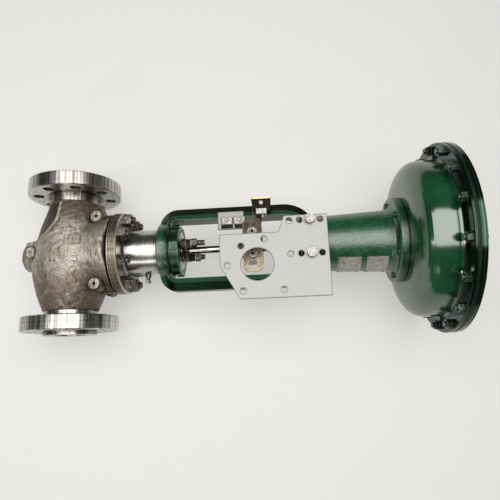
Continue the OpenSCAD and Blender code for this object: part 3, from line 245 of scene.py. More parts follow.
class Ground:
    """The coordinates of one material: places on the valve in metres and patterns on them."""

    def __init__(self, name):
        self.material = bpy.data.materials.new(name)
        self.start = empty_tree(self.material)
        self.place = self.start.node("ShaderNodeTexCoord", output="Object")
        self.x = self.axis("X")
        self.y = self.axis("Y")
        self.z = self.axis("Z")

    def axis(self, letter):
        return self.start.node(
            "ShaderNodeSeparateXYZ", inputs={0: self.place}, output=letter
        )

    def vector(self, x, y, z):
        return self.start.node("ShaderNodeCombineXYZ", inputs={0: x, 1: y, 2: z})

    def noise(self, scale, detail=4.0, rough=0.55, at=None):
        """Cloud pattern from 0 to 1 whose lumps are about 1/scale metres across."""
        return self.start.node(
            "ShaderNodeTexNoise",
            inputs={
                "Vector": at or self.place,
                "Scale": scale,
                "Detail": detail,
                "Roughness": rough,
            },
        )

    def cells(self, scale):
        """Distance from the nearest of many scattered points, about 1/scale metres apart."""
        return self.start.node(
            "ShaderNodeTexVoronoi",
            inputs={"Vector": self.place, "Scale": scale},
            output="Distance",
        )

    def carried(self, name):
        """Value from 0 to 1 that the mesh carries for each point, 0 where it carries none."""
        return self.start.node("ShaderNodeAttribute", {"attribute_name": name}, output="Fac")

    def openness(self, reach, inside):
        """Share of directions that are free within reach, looking out of the surface or into it."""
        return self.start.node(
            "ShaderNodeAmbientOcclusion",
            {"samples": CORNER_SAMPLES, "inside": inside},
            {"Distance": reach},
            "AO",
        )

    def nook(self, reach):
        """1 deep in corners and seams narrower than reach, 0 in the open."""
        return 1.0 - self.openness(reach, False)

    def edge(self, reach):
        """1 along outer edges within about reach of them, 0 elsewhere."""
        return (1.0 - self.openness(reach, True)).ramp(0.1, 0.5)

    def shaded_and_grimed(self, colour, reach, strength, shade_and_grime):
        """The colour darkened in corners and seams narrower than reach: painted shade, with some
        grime.
        """
        return (self.nook(reach) * strength).at_most(1.0).between(colour, shade_and_grime)

    def worn(self, colour, reach, strength, edge_colour):
        """The colour with another one along its edges; a pale one there is a painted highlight,
        with wear.
        """
        return (self.edge(reach) * strength).between(colour, edge_colour)

    def from_stem(self):
        """Distance from the stem's axis."""
        off = self.x - STEM_X
        return (off * off + self.y * self.y) ** 0.5

    def from_pipe(self):
        """Distance from the pipe's axis."""
        return (self.y * self.y + self.z * self.z) ** 0.5

    def close(self, colour, rough, metal, height, relief, shine=0.5, ior=1.5):
        """Wires the finish into one Principled shader, with height as a bump of that relief."""
        inputs = {
            "Base Color": colour,
            "Roughness": rough,
            "Metallic": metal,
            "Specular IOR Level": shine,
            "IOR": ior,
            "Normal": self.start.node(
                "ShaderNodeBump", inputs={"Height": height, "Distance": relief}
            ),
        }
        shader = self.start.node("ShaderNodeBsdfPrincipled", inputs=inputs)
        self.start.node("ShaderNodeOutputMaterial", inputs={"Surface": shader})
        return self.material


# ---- Finishes ----


def cast_stainless():
    """Sand-cast body: mottled, stained and grainy, with turned flanges, collars and lug faces;
    painted shade under the ridge, in creases and in corners, and a painted highlight along the
    ridge.
    """
    g = Ground("cast_stainless")
    turned = g.x.ramp(INLET_TURNED + 0.0006, INLET_TURNED).at_least(
        g.x.ramp(OUTLET_TURNED - 0.0006, OUTLET_TURNED)
    )
    lug_ring = 0.0
    for x, z, *_ in LUGS:
        across = g.x - (STEM_X + MM * x)
        along = g.z - MM * z
        near = (across * across + along * along) ** 0.5
        face = near.ramp(LUG_FACE_RADIUS, LUG_FACE_RADIUS - 0.0008) * g.y.ramp(
            LUG_FACE_Y + 0.0004, LUG_FACE_Y
        )
        turned = turned.at_least(face * 0.35)
        # Dark ring on the step round each lug's face: painted shade in that corner
        rim = near.ramp(LUG_FACE_RADIUS - 0.0004, LUG_FACE_RADIUS + 0.0006)
        groove = abs(near - LUG_GROOVE_RADIUS).ramp(0.0011, 0.0005)
        rings = rim * near.ramp(*LUG_SHADE_RADIUS) + groove
        lug_ring = rings * g.y.ramp(*LUG_RINGS_Y) + lug_ring
    mottle = g.noise(30.0, 5.0, 0.62)
    stain = g.noise(85.0, 6.0, 0.7)
    grain = g.noise(900.0, 3.0, 0.6)
    runs = g.noise(1.0, 4.0, 0.6, g.vector(g.x * 60.0, g.y * 60.0, g.z * 260.0))
    folds = g.noise(1.0, 3.0, 0.6, g.vector(g.x * 90.0, g.y * 60.0, g.z * 34.0))
    creases = abs(folds - 0.5).ramp(0.024, 0.004) * mottle.ramp(0.50, 0.62)
    flank = abs(g.x - (STEM_X - 0.004)).ramp(0.018, 0.075)
    skin = mottle.ramp(0.36, 0.66).between((0.30, 0.262, 0.20), (0.62, 0.59, 0.51))
    skin = (flank * (0.45 + mottle * 0.8)).at_most(1.0).between(skin, (0.165, 0.125, 0.088))
    skin = (stain.ramp(0.54, 0.76) * 0.75).between(skin, (0.66, 0.64, 0.57))
    skin = (runs.ramp(0.53, 0.66) * 0.75).between(skin, (0.10, 0.072, 0.048))
    skin = ((grain - 0.42).ramp(0.12, 0.22) * 0.55).between(skin, (0.075, 0.058, 0.042))
    # Dark fold lines: painted shade in the creases
    skin = (creases * 0.7).between(skin, (0.045, 0.034, 0.024))
    # Painted shade on the facet below the ridge, and a painted highlight along its edge
    skin = (g.carried("under_ridge") * 0.8).between(skin, (0.045, 0.037, 0.028))
    ridge_highlight = (g.carried("ridge_highlight") * (0.5 + grain * 0.6)).at_most(1.0)
    skin = ridge_highlight.between(skin, (0.70, 0.67, 0.60))
    # Corners darkened as painted shade, with grainy dirt, the lug rings and the top joint
    shade_and_dirt = (g.nook(0.012) * 1.5 + (grain - 0.5) * 0.3).at_most(1.0).at_least(0.0)
    shade_and_dirt = shade_and_dirt.at_least(lug_ring * 0.75).at_least(g.z.ramp(*BODY_TOP_Z) * 0.97)
    skin = shade_and_dirt.between(skin, (0.032, 0.024, 0.017))
    lines = g.noise(1.0, 2.0, 0.5, g.vector(g.x * 900.0, g.from_pipe() * 900.0, 0.0))
    streaks = g.noise(1.0, 3.0, 0.6, g.vector(g.x * 6.0, g.y * 330.0, g.z * 330.0))
    cut = streaks * 0.75 + lines * 0.25
    # Streaks across the turned faces: machining marks, with painted sheen bands
    bright = cut.ramp(0.40, 0.58).between((0.20, 0.185, 0.160), (0.66, 0.645, 0.61))
    bright = (mottle.ramp(0.45, 0.75) * 0.35).between(bright, (0.16, 0.14, 0.115))
    # Turned faces darker in corners: painted shade, with grime
    bright = g.shaded_and_grimed(bright, 0.010, 1.5, (0.030, 0.025, 0.020))
    colour = turned.between(skin, bright)
    rough = (0.36 + grain * 0.24) * (1.0 - turned) + (0.21 + cut * 0.16) * turned
    metal = 0.72 * (1.0 - turned) + turned
    pits = g.cells(420.0).ramp(0.0, 0.35)
    lumps = g.noise(130.0, 4.0, 0.6)
    waves = g.noise(42.0, 2.0, 0.5)
    height = grain * 0.30 + lumps * 1.2 + waves * 1.6 + pits * 0.2 - creases * 0.25
    height = height * (1.0 - turned)
    height = height + streaks * turned * 0.05
    return g.close(colour, rough, metal, height, 0.0016)


def turned_stainless():
    """Turned bonnet and trim: fine lathe lines, a brown heat tint on the flange rim, painted shade
    and grime in corners, and pale edges that are painted highlight and wear."""
    g = Ground("turned_stainless")
    radius = g.from_stem()
    lines = g.noise(1.0, 3.0, 0.6, g.vector(g.z * 1100.0, radius * 1100.0, 0.0))
    cloud = g.noise(60.0, 4.0, 0.6)
    streaks = g.noise(1.0, 3.0, 0.6, g.vector(g.x * 350.0, g.y * 350.0, g.z * 12.0))
    bands = g.noise(1.0, 3.0, 0.6, g.vector(0.0, 0.0, g.z * 420.0))
    colour = lines.ramp(0.35, 0.65).between((0.36, 0.345, 0.31), (0.56, 0.55, 0.52))
    tinted = radius.ramp(BONNET_RIM_RADIUS, BONNET_RIM_RADIUS + 0.001)
    tint = (streaks * 0.4 + bands * 0.6).ramp(0.40, 0.62).between(
        (0.070, 0.050, 0.032), (0.40, 0.345, 0.26)
    )
    colour = (tinted * 0.94).between(colour, tint)
    middle = abs(g.z - BONNET_RIM_MIDDLE)
    colour = (tinted * middle.ramp(0.0064, 0.0070)).between(colour, (0.62, 0.60, 0.54))
    joint = tinted * g.z.ramp(*BONNET_JOINT_Z)
    colour = joint.between(colour, (0.004, 0.003, 0.002))
    colour = (cloud.ramp(0.50, 0.72) * 0.55).between(colour, (0.17, 0.145, 0.11))
    # Darker in corners: painted shade, with grime
    colour = g.shaded_and_grimed(colour, 0.010, 1.6, (0.026, 0.020, 0.014))
    # Pale edges: painted highlight, with wear
    colour = g.worn(colour, 0.0016, 0.9, (0.86, 0.84, 0.79))
    rough = 0.22 + lines * 0.14 + tinted * 0.18
    return g.close(colour, rough, 1.0, lines, 0.00005)


def bright_steel():
    """Ground and polished stem, oily near the packing, with painted shade along both its sides
    there.
    """
    g = Ground("bright_steel")
    lines = g.noise(1.0, 2.0, 0.5, g.vector(g.x * 50.0, g.y * 50.0, g.z * 1600.0))
    oily = g.z.span(*OILY_STEM_Z)
    # Both sides of the stem by the packing nearly black: painted shade
    shaded_sides = abs(g.x - STEM_X).ramp(0.0030, 0.0048) * oily
    colour = lines.ramp(0.3, 0.7).between((0.52, 0.51, 0.49), (0.70, 0.69, 0.67))
    colour = (oily * 0.6).between(colour, (0.20, 0.18, 0.15))
    colour = (shaded_sides * 0.9).between(colour, (0.016, 0.014, 0.012))
    # Darker in corners: painted shade, with grime
    colour = g.shaded_and_grimed(colour, 0.006, 1.3, (0.05, 0.042, 0.035))
    return g.close(colour, 0.10 + lines * 0.10, 1.0, lines, 0.00003)


def dark_steel():
    """Dull alloy steel of studs and nuts: dark, with painted shade and some rust in the
    corners, and pale edges that are painted highlight and wear."""
    g = Ground("dark_steel")
    patch = g.noise(240.0, 4.0, 0.6)
    grain = g.noise(1200.0, 3.0, 0.6)
    colour = patch.ramp(0.4, 0.65).between((0.055, 0.048, 0.040), (0.25, 0.235, 0.205))
    outward = g.from_stem()
    packing = outward.ramp(*PACKING_RADIUS) * g.z.span(*PACKING_Z)
    studs = packing.at_least(outward.ramp(*BONNET_STUDS_RADIUS) * g.z.ramp(*BONNET_STUDS_Z))
    colour = (studs * 0.1944).between(colour, (0.012, 0.009, 0.007))
    colour = (packing * 0.6).between(colour, (0.030, 0.024, 0.018))
    # Darker in corners: painted shade, with grime
    colour = g.shaded_and_grimed(colour, 0.006, 1.5, (0.014, 0.010, 0.007))
    # Pale edges: painted highlight, with wear
    colour = g.worn(colour, 0.0012, 0.85, (0.62, 0.60, 0.56))
    painted = outward.ramp(*PAINTED_SCREWS_RADIUS) * g.z.ramp(*PAINTED_SCREWS_Z)
    colour = painted.between(colour, (0.010, 0.036, 0.019))
    return g.close(colour, 0.30 + grain * 0.22, 0.9 - painted * 0.9, grain, 0.00016)


def plated_steel():
    """Zinc plate gone dull, with grey clouds; the nameplates are scuffed, with dark edges."""
    g = Ground("plated_steel")
    cloud = g.noise(180.0, 4.0, 0.65)
    grain = g.noise(1500.0, 2.0, 0.5)
    colour = cloud.ramp(0.35, 0.7).between((0.185, 0.178, 0.160), (0.40, 0.39, 0.36))
    # Darker in corners: painted shade, with grime
    colour = g.shaded_and_grimed(colour, 0.006, 1.5, (0.022, 0.018, 0.014))
    # Pale edges: painted highlight, with wear
    colour = g.worn(colour, 0.0010, 0.8, (0.74, 0.73, 0.69))
    nameplates = g.z.span(*NAMEPLATES_Z)
    scuffs = (cloud * 0.6 + grain * 0.4).ramp(0.35, 0.62)
    plate = scuffs.between((0.20, 0.187, 0.162), (0.48, 0.468, 0.425))
    plate = g.worn(plate, 0.0006, 0.85, (0.055, 0.050, 0.040))
    colour = nameplates.between(colour, plate)
    return g.close(colour, 0.30 + cloud * 0.18, 0.85 - nameplates * 0.45, grain, 0.00010)


def yellow_plate():
    """Brown passivated bracket, worn and oily, yellow where it stays clean; painted shade and
    grime in its corners, and pale edges that are painted highlight and wear.
    """
    g = Ground("yellow_plate")
    cloud = g.noise(150.0, 4.0, 0.65)
    spots = g.noise(700.0, 3.0, 0.6)
    lower = g.x.ramp(STEM_X - 0.004, STEM_X + 0.012)
    darkened = cloud.ramp(0.35, 0.65).between((0.022, 0.013, 0.008), (0.085, 0.055, 0.034))
    clean = cloud.ramp(0.35, 0.65).between((0.22, 0.175, 0.095), (0.42, 0.37, 0.25))
    colour = lower.between(darkened, clean)
    colour = (spots.ramp(0.58, 0.72) * 0.6).between(colour, (0.035, 0.024, 0.016))
    # Darker in corners: painted shade, with grime
    colour = g.shaded_and_grimed(colour, 0.008, 1.4, (0.014, 0.009, 0.005))
    # Pale edges: painted highlight, with wear
    colour = g.worn(colour, 0.0008, 0.6, (0.42, 0.36, 0.26))
    return g.close(colour, 0.36 + spots * 0.2, 0.5, spots, 0.0001)


def brass():
    """Turned brass, slightly tarnished."""
    g = Ground("brass")
    cloud = g.noise(220.0, 4.0, 0.6)
    colour = cloud.ramp(0.35, 0.7).between((0.44, 0.30, 0.12), (0.74, 0.57, 0.27))
    # Darker in corners: painted shade, with grime
    colour = g.shaded_and_grimed(colour, 0.005, 1.0, (0.10, 0.07, 0.03))
    return g.close(colour, 0.22 + cloud * 0.2, 1.0, cloud, 0.0001)


def graphite():
    """Graphite gasket edge."""
    g = Ground("graphite")
    flakes = g.noise(1300.0, 4.0, 0.7)
    colour = flakes.ramp(0.4, 0.7).between((0.025, 0.024, 0.023), (0.09, 0.088, 0.085))
    return g.close(colour, 0.62 + flakes * 0.2, 0.2, flakes, 0.0002)


def black_rubber():
    """Nitrile rubber with a faint bloom, painted over where the diaphragm's edge shows."""
    g = Ground("black_rubber")
    bloom = g.noise(80.0, 4.0, 0.6)
    weave = g.noise(1500.0, 2.0, 0.5)
    colour = bloom.ramp(0.45, 0.75).between((0.012, 0.013, 0.012), (0.045, 0.05, 0.047))
    painted = g.from_stem().ramp(*DIAPHRAGM_EDGE_RADIUS)
    colour = painted.between(colour, (0.008, 0.022, 0.013))
    return g.close(colour, 0.50 + weave * 0.2 - painted * 0.1, painted * 0.7, weave, 0.0001)


def white_ptfe():
    """Waxy white packing."""
    g = Ground("white_ptfe")
    cloud = g.noise(300.0, 3.0, 0.6)
    colour = cloud.between((0.74, 0.73, 0.70), (0.86, 0.86, 0.84))
    return g.close(colour, 0.42 + cloud * 0.1, 0.0, cloud, 0.0001)


def black_plastic():
    """Moulded black block, dusty, with pale edges that are painted highlight and scuffs."""
    g = Ground("black_plastic")
    dust = g.noise(260.0, 4.0, 0.65)
    colour = dust.ramp(0.50, 0.78).between((0.006, 0.005, 0.005), (0.060, 0.048, 0.038))
    # Pale edges: painted highlight, with scuffs
    colour = g.worn(colour, 0.0005, 0.6, (0.20, 0.18, 0.15))
    return g.close(colour, 0.34 + dust * 0.25, 0.75, dust, 0.0003, 0.25)


def green_enamel(name, dark, light, lump, relief, rough, pale_edges, speckle, shine, darkened=1.0):
    """Brushed-on green enamel: darker in its pits and pale on the high grain, as painted shade
    and painted highlight of its relief; pale along the edges, a painted highlight with chipping;
    painted shade and grime in corners; and nearly black on the yoke's legs and on the casing's
    rim, a painted shade with some grime, drawn on a dark metallic base."""
    g = Ground(name)
    cloud = g.noise(26.0, 4.0, 0.6)
    coarse = g.noise(lump, 5.0, 0.65)
    fine = g.noise(lump * 3.2, 3.0, 0.6)
    patches = g.noise(lump * 0.3, 3.0, 0.6).ramp(0.60, 0.42)
    pits = 1.0 - g.cells(lump * 0.95).ramp(0.40, 0.22) * patches
    colour = cloud.ramp(0.3, 0.7).between(dark, light)
    pale = [1.9 * c + 0.01 for c in light]
    # Pale on the high grain: painted highlight of the relief
    colour = (coarse.ramp(0.56, 0.66) * speckle).between(colour, pale)
    # Darker in the pits: painted shade
    hollow = ((1.0 - pits) * speckle * 2.0).at_most(0.9)
    colour = hollow.between(colour, [0.12 * c for c in dark])
    outward = g.from_stem()
    # Legs and casing rim nearly black on a dark metallic base: painted shade, with grime
    legs = g.z.span(*LEGS_Z) * (abs(g.x - STEM_X).ramp(0.040, 0.048) * 0.35 + 0.62)
    rim = outward.ramp(*CASING_RIM_RADIUS) * g.z.ramp(*CASING_RIM_Z) * 0.85
    shade_and_grime = (legs + rim) * darkened
    colour = shade_and_grime.between(colour, (0.006, 0.017, 0.010))
    for seam in CASING_SEAMS_Z:
        line = abs(g.z - seam).ramp(0.0009, 0.0004) * outward.ramp(*CASING_SEAMS_RADIUS)
        colour = (line * 0.9).between(colour, (0.002, 0.005, 0.003))
    # Nearly black in corners: painted shade, with grime
    colour = g.shaded_and_grimed(colour, 0.016, 1.5, (0.0012, 0.0035, 0.002))
    # Pale edges: painted highlight, with chipped enamel
    colour = g.worn(colour, 0.0014, pale_edges, [2.0 * c + 0.05 for c in light])
    height = coarse + fine * speckle + pits * speckle
    return g.close(colour, rough + coarse * 0.08, shade_and_grime, height, relief, shine, ENAMEL_IOR)


def green_cast():
    """Enamel over the rough cast iron of the yoke."""
    return green_enamel(
        "green_cast",
        dark=(0.006, 0.042, 0.017),
        light=(0.012, 0.098, 0.038),
        lump=300.0,
        relief=0.00038,
        rough=0.16,
        pale_edges=0.6,
        speckle=0.4,
        shine=0.68,
    )


def green_gloss():
    """Glossy enamel over the smooth pressed casings."""
    return green_enamel(
        "green_gloss",
        dark=(0.003, 0.036, 0.013),
        light=(0.007, 0.068, 0.027),
        lump=45.0,
        relief=0.00003,
        rough=0.10,
        pale_edges=0.6,
        speckle=0.1,
        shine=0.95,
    )


def green_bolt():
    """Enamel over the casing bolts and nuts."""
    return green_enamel(
        "green_bolt",
        dark=(0.008, 0.026, 0.015),
        light=(0.034, 0.070, 0.046),
        lump=420.0,
        relief=0.0004,
        rough=0.22,
        pale_edges=0.9,
        speckle=0.3,
        shine=0.6,
        darkened=0.4,
    )


def green_spring():
    """Enamel over the spring."""
    return green_enamel(
        "green_spring",
        dark=(0.012, 0.050, 0.026),
        light=(0.024, 0.085, 0.045),
        lump=260.0,
        relief=0.0003,
        rough=0.24,
        pale_edges=0.3,
        speckle=0.3,
        shine=0.6,
    )


def grey_plate():
    """Pale plate with a flat grey finish, small stains and dark cut edges."""
    g = Ground("grey_plate")
    cloud = g.noise(45.0, 3.0, 0.5)
    spots = g.noise(260.0, 3.0, 0.6)
    grain = g.noise(1400.0, 2.0, 0.5)
    colour = cloud.between((0.44, 0.435, 0.42), (0.50, 0.495, 0.48))
    colour = (spots.ramp(0.68, 0.78) * 0.5).between(colour, (0.26, 0.24, 0.21))
    # Darker in corners: painted shade, with grime
    colour = g.shaded_and_grimed(colour, 0.004, 1.0, (0.10, 0.10, 0.09))
    colour = (g.edge(0.0022) * 1.3).at_most(0.95).between(colour, (0.05, 0.045, 0.04))
    return g.close(colour, 0.46 + grain * 0.12, 0.0, grain, 0.00006)


FINISHES = (
    cast_stainless,
    turned_stainless,
    bright_steel,
    dark_steel,
    plated_steel,
    yellow_plate,
    brass,
    graphite,
    black_rubber,
    white_ptfe,
    black_plastic,
    green_cast,
    green_gloss,
    green_bolt,
    green_spring,
    grey_plate,
)


def dress_nodes():
    """Gives every solid of the model the finish that its slot names."""
    made = {finish.__name__: finish() for finish in FINISHES}
    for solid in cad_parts.values():
        for place in solid.material_slots:
            place.material = made[place.material.name.split(".")[0]]
    return made


# ---- Pieces made here ----


def linked(name, data):
    """Adds a mesh, a lamp or a camera to the scene as an object."""
    made = bpy.data.objects.new(name, data)
    bpy.context.collection.objects.link(made)
    return made


def add_piece(name, points, quads, finish, body, *stands_for, caps=()):
    """Makes one mesh of these points, quads and flat caps, gives it a finish and lets it ride on a
    body, in the place of the nodes it stands for."""
    mesh = bpy.data.meshes.new(name)
    mesh.from_pydata(np.asarray(points).tolist(), [], [*np.asarray(quads).tolist(), *caps])
    mesh.polygons.foreach_set("use_smooth", np.ones(len(mesh.polygons), dtype=bool))
    mesh.materials.append(finishes[finish])
    made = linked(name, mesh)
    mesh.set_sharp_from_angle(angle=SHARP_ANGLE)
    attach(made, body)
    if stands_for:
        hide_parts(*stands_for)
    return made


def carry(piece, name, values):
    """Lets each point of a piece carry a value that its finish reads."""
    layer = piece.data.attributes.new(name, "FLOAT", "POINT")
    layer.data.foreach_set("value", np.asarray(values, dtype=np.float32).reshape(-1))


def grid_quads(rows, columns):
    """Corner numbers of the cells of a grid whose columns close into a ring."""
    row, column = np.meshgrid(np.arange(rows - 1), np.arange(columns), indexing="ij")
    after = (column + 1) % columns
    corners = [row * columns + column, row * columns + after]
    corners += [(row + 1) * columns + after, (row + 1) * columns + column]
    return np.stack(corners, axis=-1).reshape(-1, 4)


def turned(profile, centre, axis, steps=48):
    """Surface of revolution: each profile point (radius, height) goes round the axis through
    centre, at centre + radius (cos a, sin a) across the axis + height along it. The profile runs up
    along the outside. It starts and ends on the axis, or else ends where it started."""
    radius, height = np.asarray(profile, dtype=float).T
    angle = np.linspace(0.0, 2.0 * math.pi, steps, endpoint=False)
    across = np.outer(radius, np.cos(angle)), np.outer(radius, np.sin(angle))
    along = np.repeat(height[:, None], steps, axis=1)
    order = {"x": (along, *across), "y": (across[1], along, across[0]), "z": (*across, along)}[axis]
    points = np.stack(order, axis=-1).reshape(-1, 3) + np.asarray(centre)
    return points, grid_quads(len(radius), steps)


def merged(parts):
    """Several (points, quads) pairs as one."""
    points, quads, count = [], [], 0
    for some, cells in parts:
        points.append(some)
        quads.append(cells + count)
        count += len(some)
    return np.concatenate(points), np.concatenate(quads)


def slab(outline, front, back, round_off=0.0):
    """A flat outline of (x, z) points carried from y = front to y = back, in millimetres from the
    crossing. Over the last round_off at both ends it shrinks by 1.3 times as much towards its
    middle."""
    outline = np.asarray(outline, dtype=float)
    middle = outline.mean(axis=0)
    away = outline - middle
    small = middle + away * (1.0 - 1.3 * round_off / np.linalg.norm(away, axis=1, keepdims=True))
    rows = [(small, front), (outline, front + round_off)]
    rows += [(outline, back - round_off), (small, back)]
    grid = np.stack([np.stack([p[:, 0], np.full(len(p), y), p[:, 1]], axis=-1) for p, y in rows])
    count = len(outline)
    ends = [list(range(count)), list(range(4 * count - 1, 3 * count - 1, -1))]
    return MM * grid.reshape(-1, 3) + (STEM_X, 0.0, 0.0), grid_quads(4, count), ends


def box_outline(x0, x1, z0, z1):
    """Four corners, in the order in which a slab's front faces the camera."""
    return [(x0, z0), (x1, z0), (x1, z1), (x0, z1)]


def add_slabs(name, finish, body, *stands_for, slabs, turns=()):
    """One piece of several slabs and revolves."""
    points, quads, caps, count = [], [], [], 0
    for some, cells, ends in [*slabs, *((*t, []) for t in turns)]:
        points.append(some)
        quads.append(cells + count)
        caps += [[i + count for i in end] for end in ends]
        count += len(some)
    grid = np.concatenate(points), np.concatenate(quads)
    add_piece(name, *grid, finish, body, *stands_for, caps=caps)


def stud_of(x, y, z, axis, profile):
    """A revolve in millimetres about the line through (x, y, z), of (radius, distance along it)."""
    centre = (STEM_X + MM * x, MM * y, MM * z)
    return turned(MM * np.array(profile, dtype=float), centre, axis, 32)


def feedback_parts():
    """Bracket on the stem connector with an eye, its end block with a cap, and the clamp beside the
    block."""
    plate = [(-74, 337), (-71, 334), (-41, 334), (-41, 318), (-38, 315), (31, 315), (31, 349)]
    plate += [(-36, 349), (-41, 351), (-71, 351), (-74, 348)]
    lower = [(31, 315), (44.5, 315), (49, 319.5), (49, 324), (31, 324)]
    upper = [(31, 338), (49, 338), (49, 344.5), (44.5, 349), (31, 349)]
    outlines = (plate, lower, upper, box_outline(43, 49, 324, 338))
    add_slabs(
        "bracket",
        "yellow_plate",
        "stem",
        "feedback_bracket",
        slabs=[slab(outline, -32, -28) for outline in outlines],
    )
    block = [(-74, 333), (-57, 335.5), (-57, 364.5), (-74, 367)]
    add_slabs(
        "end_block",
        "black_plastic",
        "stem",
        "feedback_block",
        slabs=[slab(block, -53, -32, 0.8)],
    )
    cone = [(0.0, -78.7), (1.6, -78.7), (2.2, -78.2), (3.5, -76.4), (0.0, -76.4)]
    add_slabs(
        "end_cap",
        "brass",
        "stem",
        "block_cap",
        slabs=[slab(box_outline(-76.5, -74, 333.5, 366.5), -52, -33, 0.5)],
        turns=[stud_of(0, -42.5, 350, "x", cone)],
    )
    stud = [(0.0, -47.5), (2.8, -47.5), (2.8, -41.4), (2.3, -40.9), (0.0, -40.9)]
    head = [(0.0, -55.0), (3.4, -55.0), (4.0, -54.4), (4.0, -52.9), (0.0, -52.9)]
    add_slabs(
        "clamp",
        "plated_steel",
        "stem",
        "block_screws",
        slabs=[slab(box_outline(-57, -47, 340.5, 359.5), -52, -33, 0.8)],
        turns=[stud_of(0, -47, 352, "x", stud), stud_of(-66, 0, 350, "y", head)],
    )


def scale_parts():
    """Scale plate on the yoke leg, held by two square blocks with screw heads."""
    add_slabs(
        "scale_plate",
        "grey_plate",
        "valve",
        "travel_scale",
        slabs=[slab(box_outline(-62.5, -29, 271, 318), -24, -22, 0.3)],
    )
    head = [(0.0, -28.6), (2.6, -28.6), (3.4, -28.0), (3.4, -26.9), (0.0, -26.9)]
    add_slabs(
        "scale_blocks",
        "plated_steel",
        "valve",
        "scale_screws",
        slabs=[slab(box_outline(-51, -38, z - 10, z + 10), -27, -24, 0.9) for z in (288, 310)],
        turns=[stud_of(-46, 0, z, "y", head) for z in (288, 310)],
    )


def scale_slots():
    """Dark sheets laid on the plate where its slots are, in which the scale's blocks are shifted:
    painted shade in the slot openings.
    """
    outlines = [box_outline(-37.5, -31, *span) for span in ((277, 298), (301, 317))]
    add_slabs(
        "scale_slots",
        "black_plastic",
        "valve",
        slabs=[slab(outline, -24.5, -23.8) for outline in outlines],
    )


def casting_holds(x, y, z):
    """True where the body casting has metal, inside or within its outer skin, in millimetres from
    the crossing of pipe and stem. The run is a revolve about the pipe that swells as
    1 - (x / neck)^2, the bowl a revolve about the stem, and both end at the ridge that falls
    towards the bottom lug. Under the ridge a slimmer keel goes on to the inlet neck. The foot, the
    webs of the lugs and the bottom pad, whose inlet side slants, join them."""
    from_pipe, from_stem = np.hypot(y, z), np.hypot(x, y)
    swell = 1.0 - (x / np.where(x < 0.0, INLET_NECK, OUTLET_NECK)) ** 2
    run = from_pipe <= NECK_RADIUS + (BELLY_RADIUS - NECK_RADIUS) * swell
    bowl_radius = np.where(
        z < 0.0,
        np.sqrt(np.maximum(BELLY_RADIUS**2 - z**2, 0.0)),
        np.interp(z, BOWL_Z, BOWL_RADIUS),
    )
    under_ridge = (x > RIDGE_X[0]) & (x < RIDGE_X[-1]) & (z < np.interp(x, RIDGE_X, RIDGE_Z))
    keel = (x < KEEL_X[-1]) & (from_pipe <= np.interp(x, KEEL_X, KEEL_RADIUS))
    foot = (z < -FOOT_DEPTH[0]) & (z > -FOOT_DEPTH[-1])
    foot &= from_stem <= np.interp(-z, FOOT_DEPTH, FOOT_RADIUS)
    webs = (x < 0.0) & (z < np.interp(x, INLET_WEB_X, INLET_WEB_TOP))
    outlet_web = (x > 0.0) & (x < OUTLET_WEB_X[-1])
    webs |= outlet_web & (z < np.interp(x, OUTLET_WEB_X, OUTLET_WEB_TOP))
    webs &= (np.abs(y) < WEB_HALF_THICKNESS) & (z > WEB_FROM_Z) & (np.abs(x) > WEB_FROM_X)
    pad = (np.abs(y) < PAD_HALF_WIDTH) & (z > PAD_Z[0]) & (z < PAD_Z[1])
    pad &= (x < PAD_TO_X) & (x > -28.6 - z * 0.16)
    solid = ((run | (from_stem <= bowl_radius)) & ~under_ridge) | keel | foot | webs | pad
    return solid & (z <= TOP_Z)


def casting_reach(x, turn):
    """Distance from the pipe's axis to the casting's skin at x, in the direction turn: the farthest
    of many tried distances that lies in metal, halved in on and blurred as far as a sand casting
    rounds its edges. Slow waves of a third of a millimetre roughen it."""
    tried = np.arange(*TRIED_REACHES)
    grid_x, grid_turn = np.meshgrid(x, turn, indexing="ij")
    y, z = -np.cos(grid_turn), np.sin(grid_turn)
    within = casting_holds(grid_x[..., None], y[..., None] * tried, z[..., None] * tried)
    reach = tried[len(tried) - 1 - np.argmax(within[..., ::-1], axis=-1)]
    step = TRIED_REACHES[2] / 2.0
    while step > REACH_TOLERANCE:
        farther = reach + step
        reach = reach + np.where(casting_holds(grid_x, y * farther, z * farther), step, 0.0)
        step /= 2.0
    flat_top = reach * z > TOP_Z - FACE_SLACK
    blurred = reach
    for _ in range(BLUR_PASSES):
        blurred = (np.roll(blurred, 1, axis=1) + 2.0 * blurred + np.roll(blurred, -1, axis=1)) / 4.0
        ends = np.concatenate([blurred[:1], blurred, blurred[-1:]])
        blurred = (ends[:-2] + 2.0 * blurred + ends[2:]) / 4.0
    waves = np.sin(grid_x * 0.31 + 2.0 * np.sin(grid_turn * 5.0))
    waves = waves * np.sin(grid_turn * 9.0 + grid_x * 0.12)
    waves = waves + np.sin(grid_x * 0.53 + grid_turn * 13.0 + 1.3 * np.sin(grid_x * 0.2)) * 0.6
    return np.where(flat_top, reach, blurred + WAVE_HEIGHT * waves), flat_top


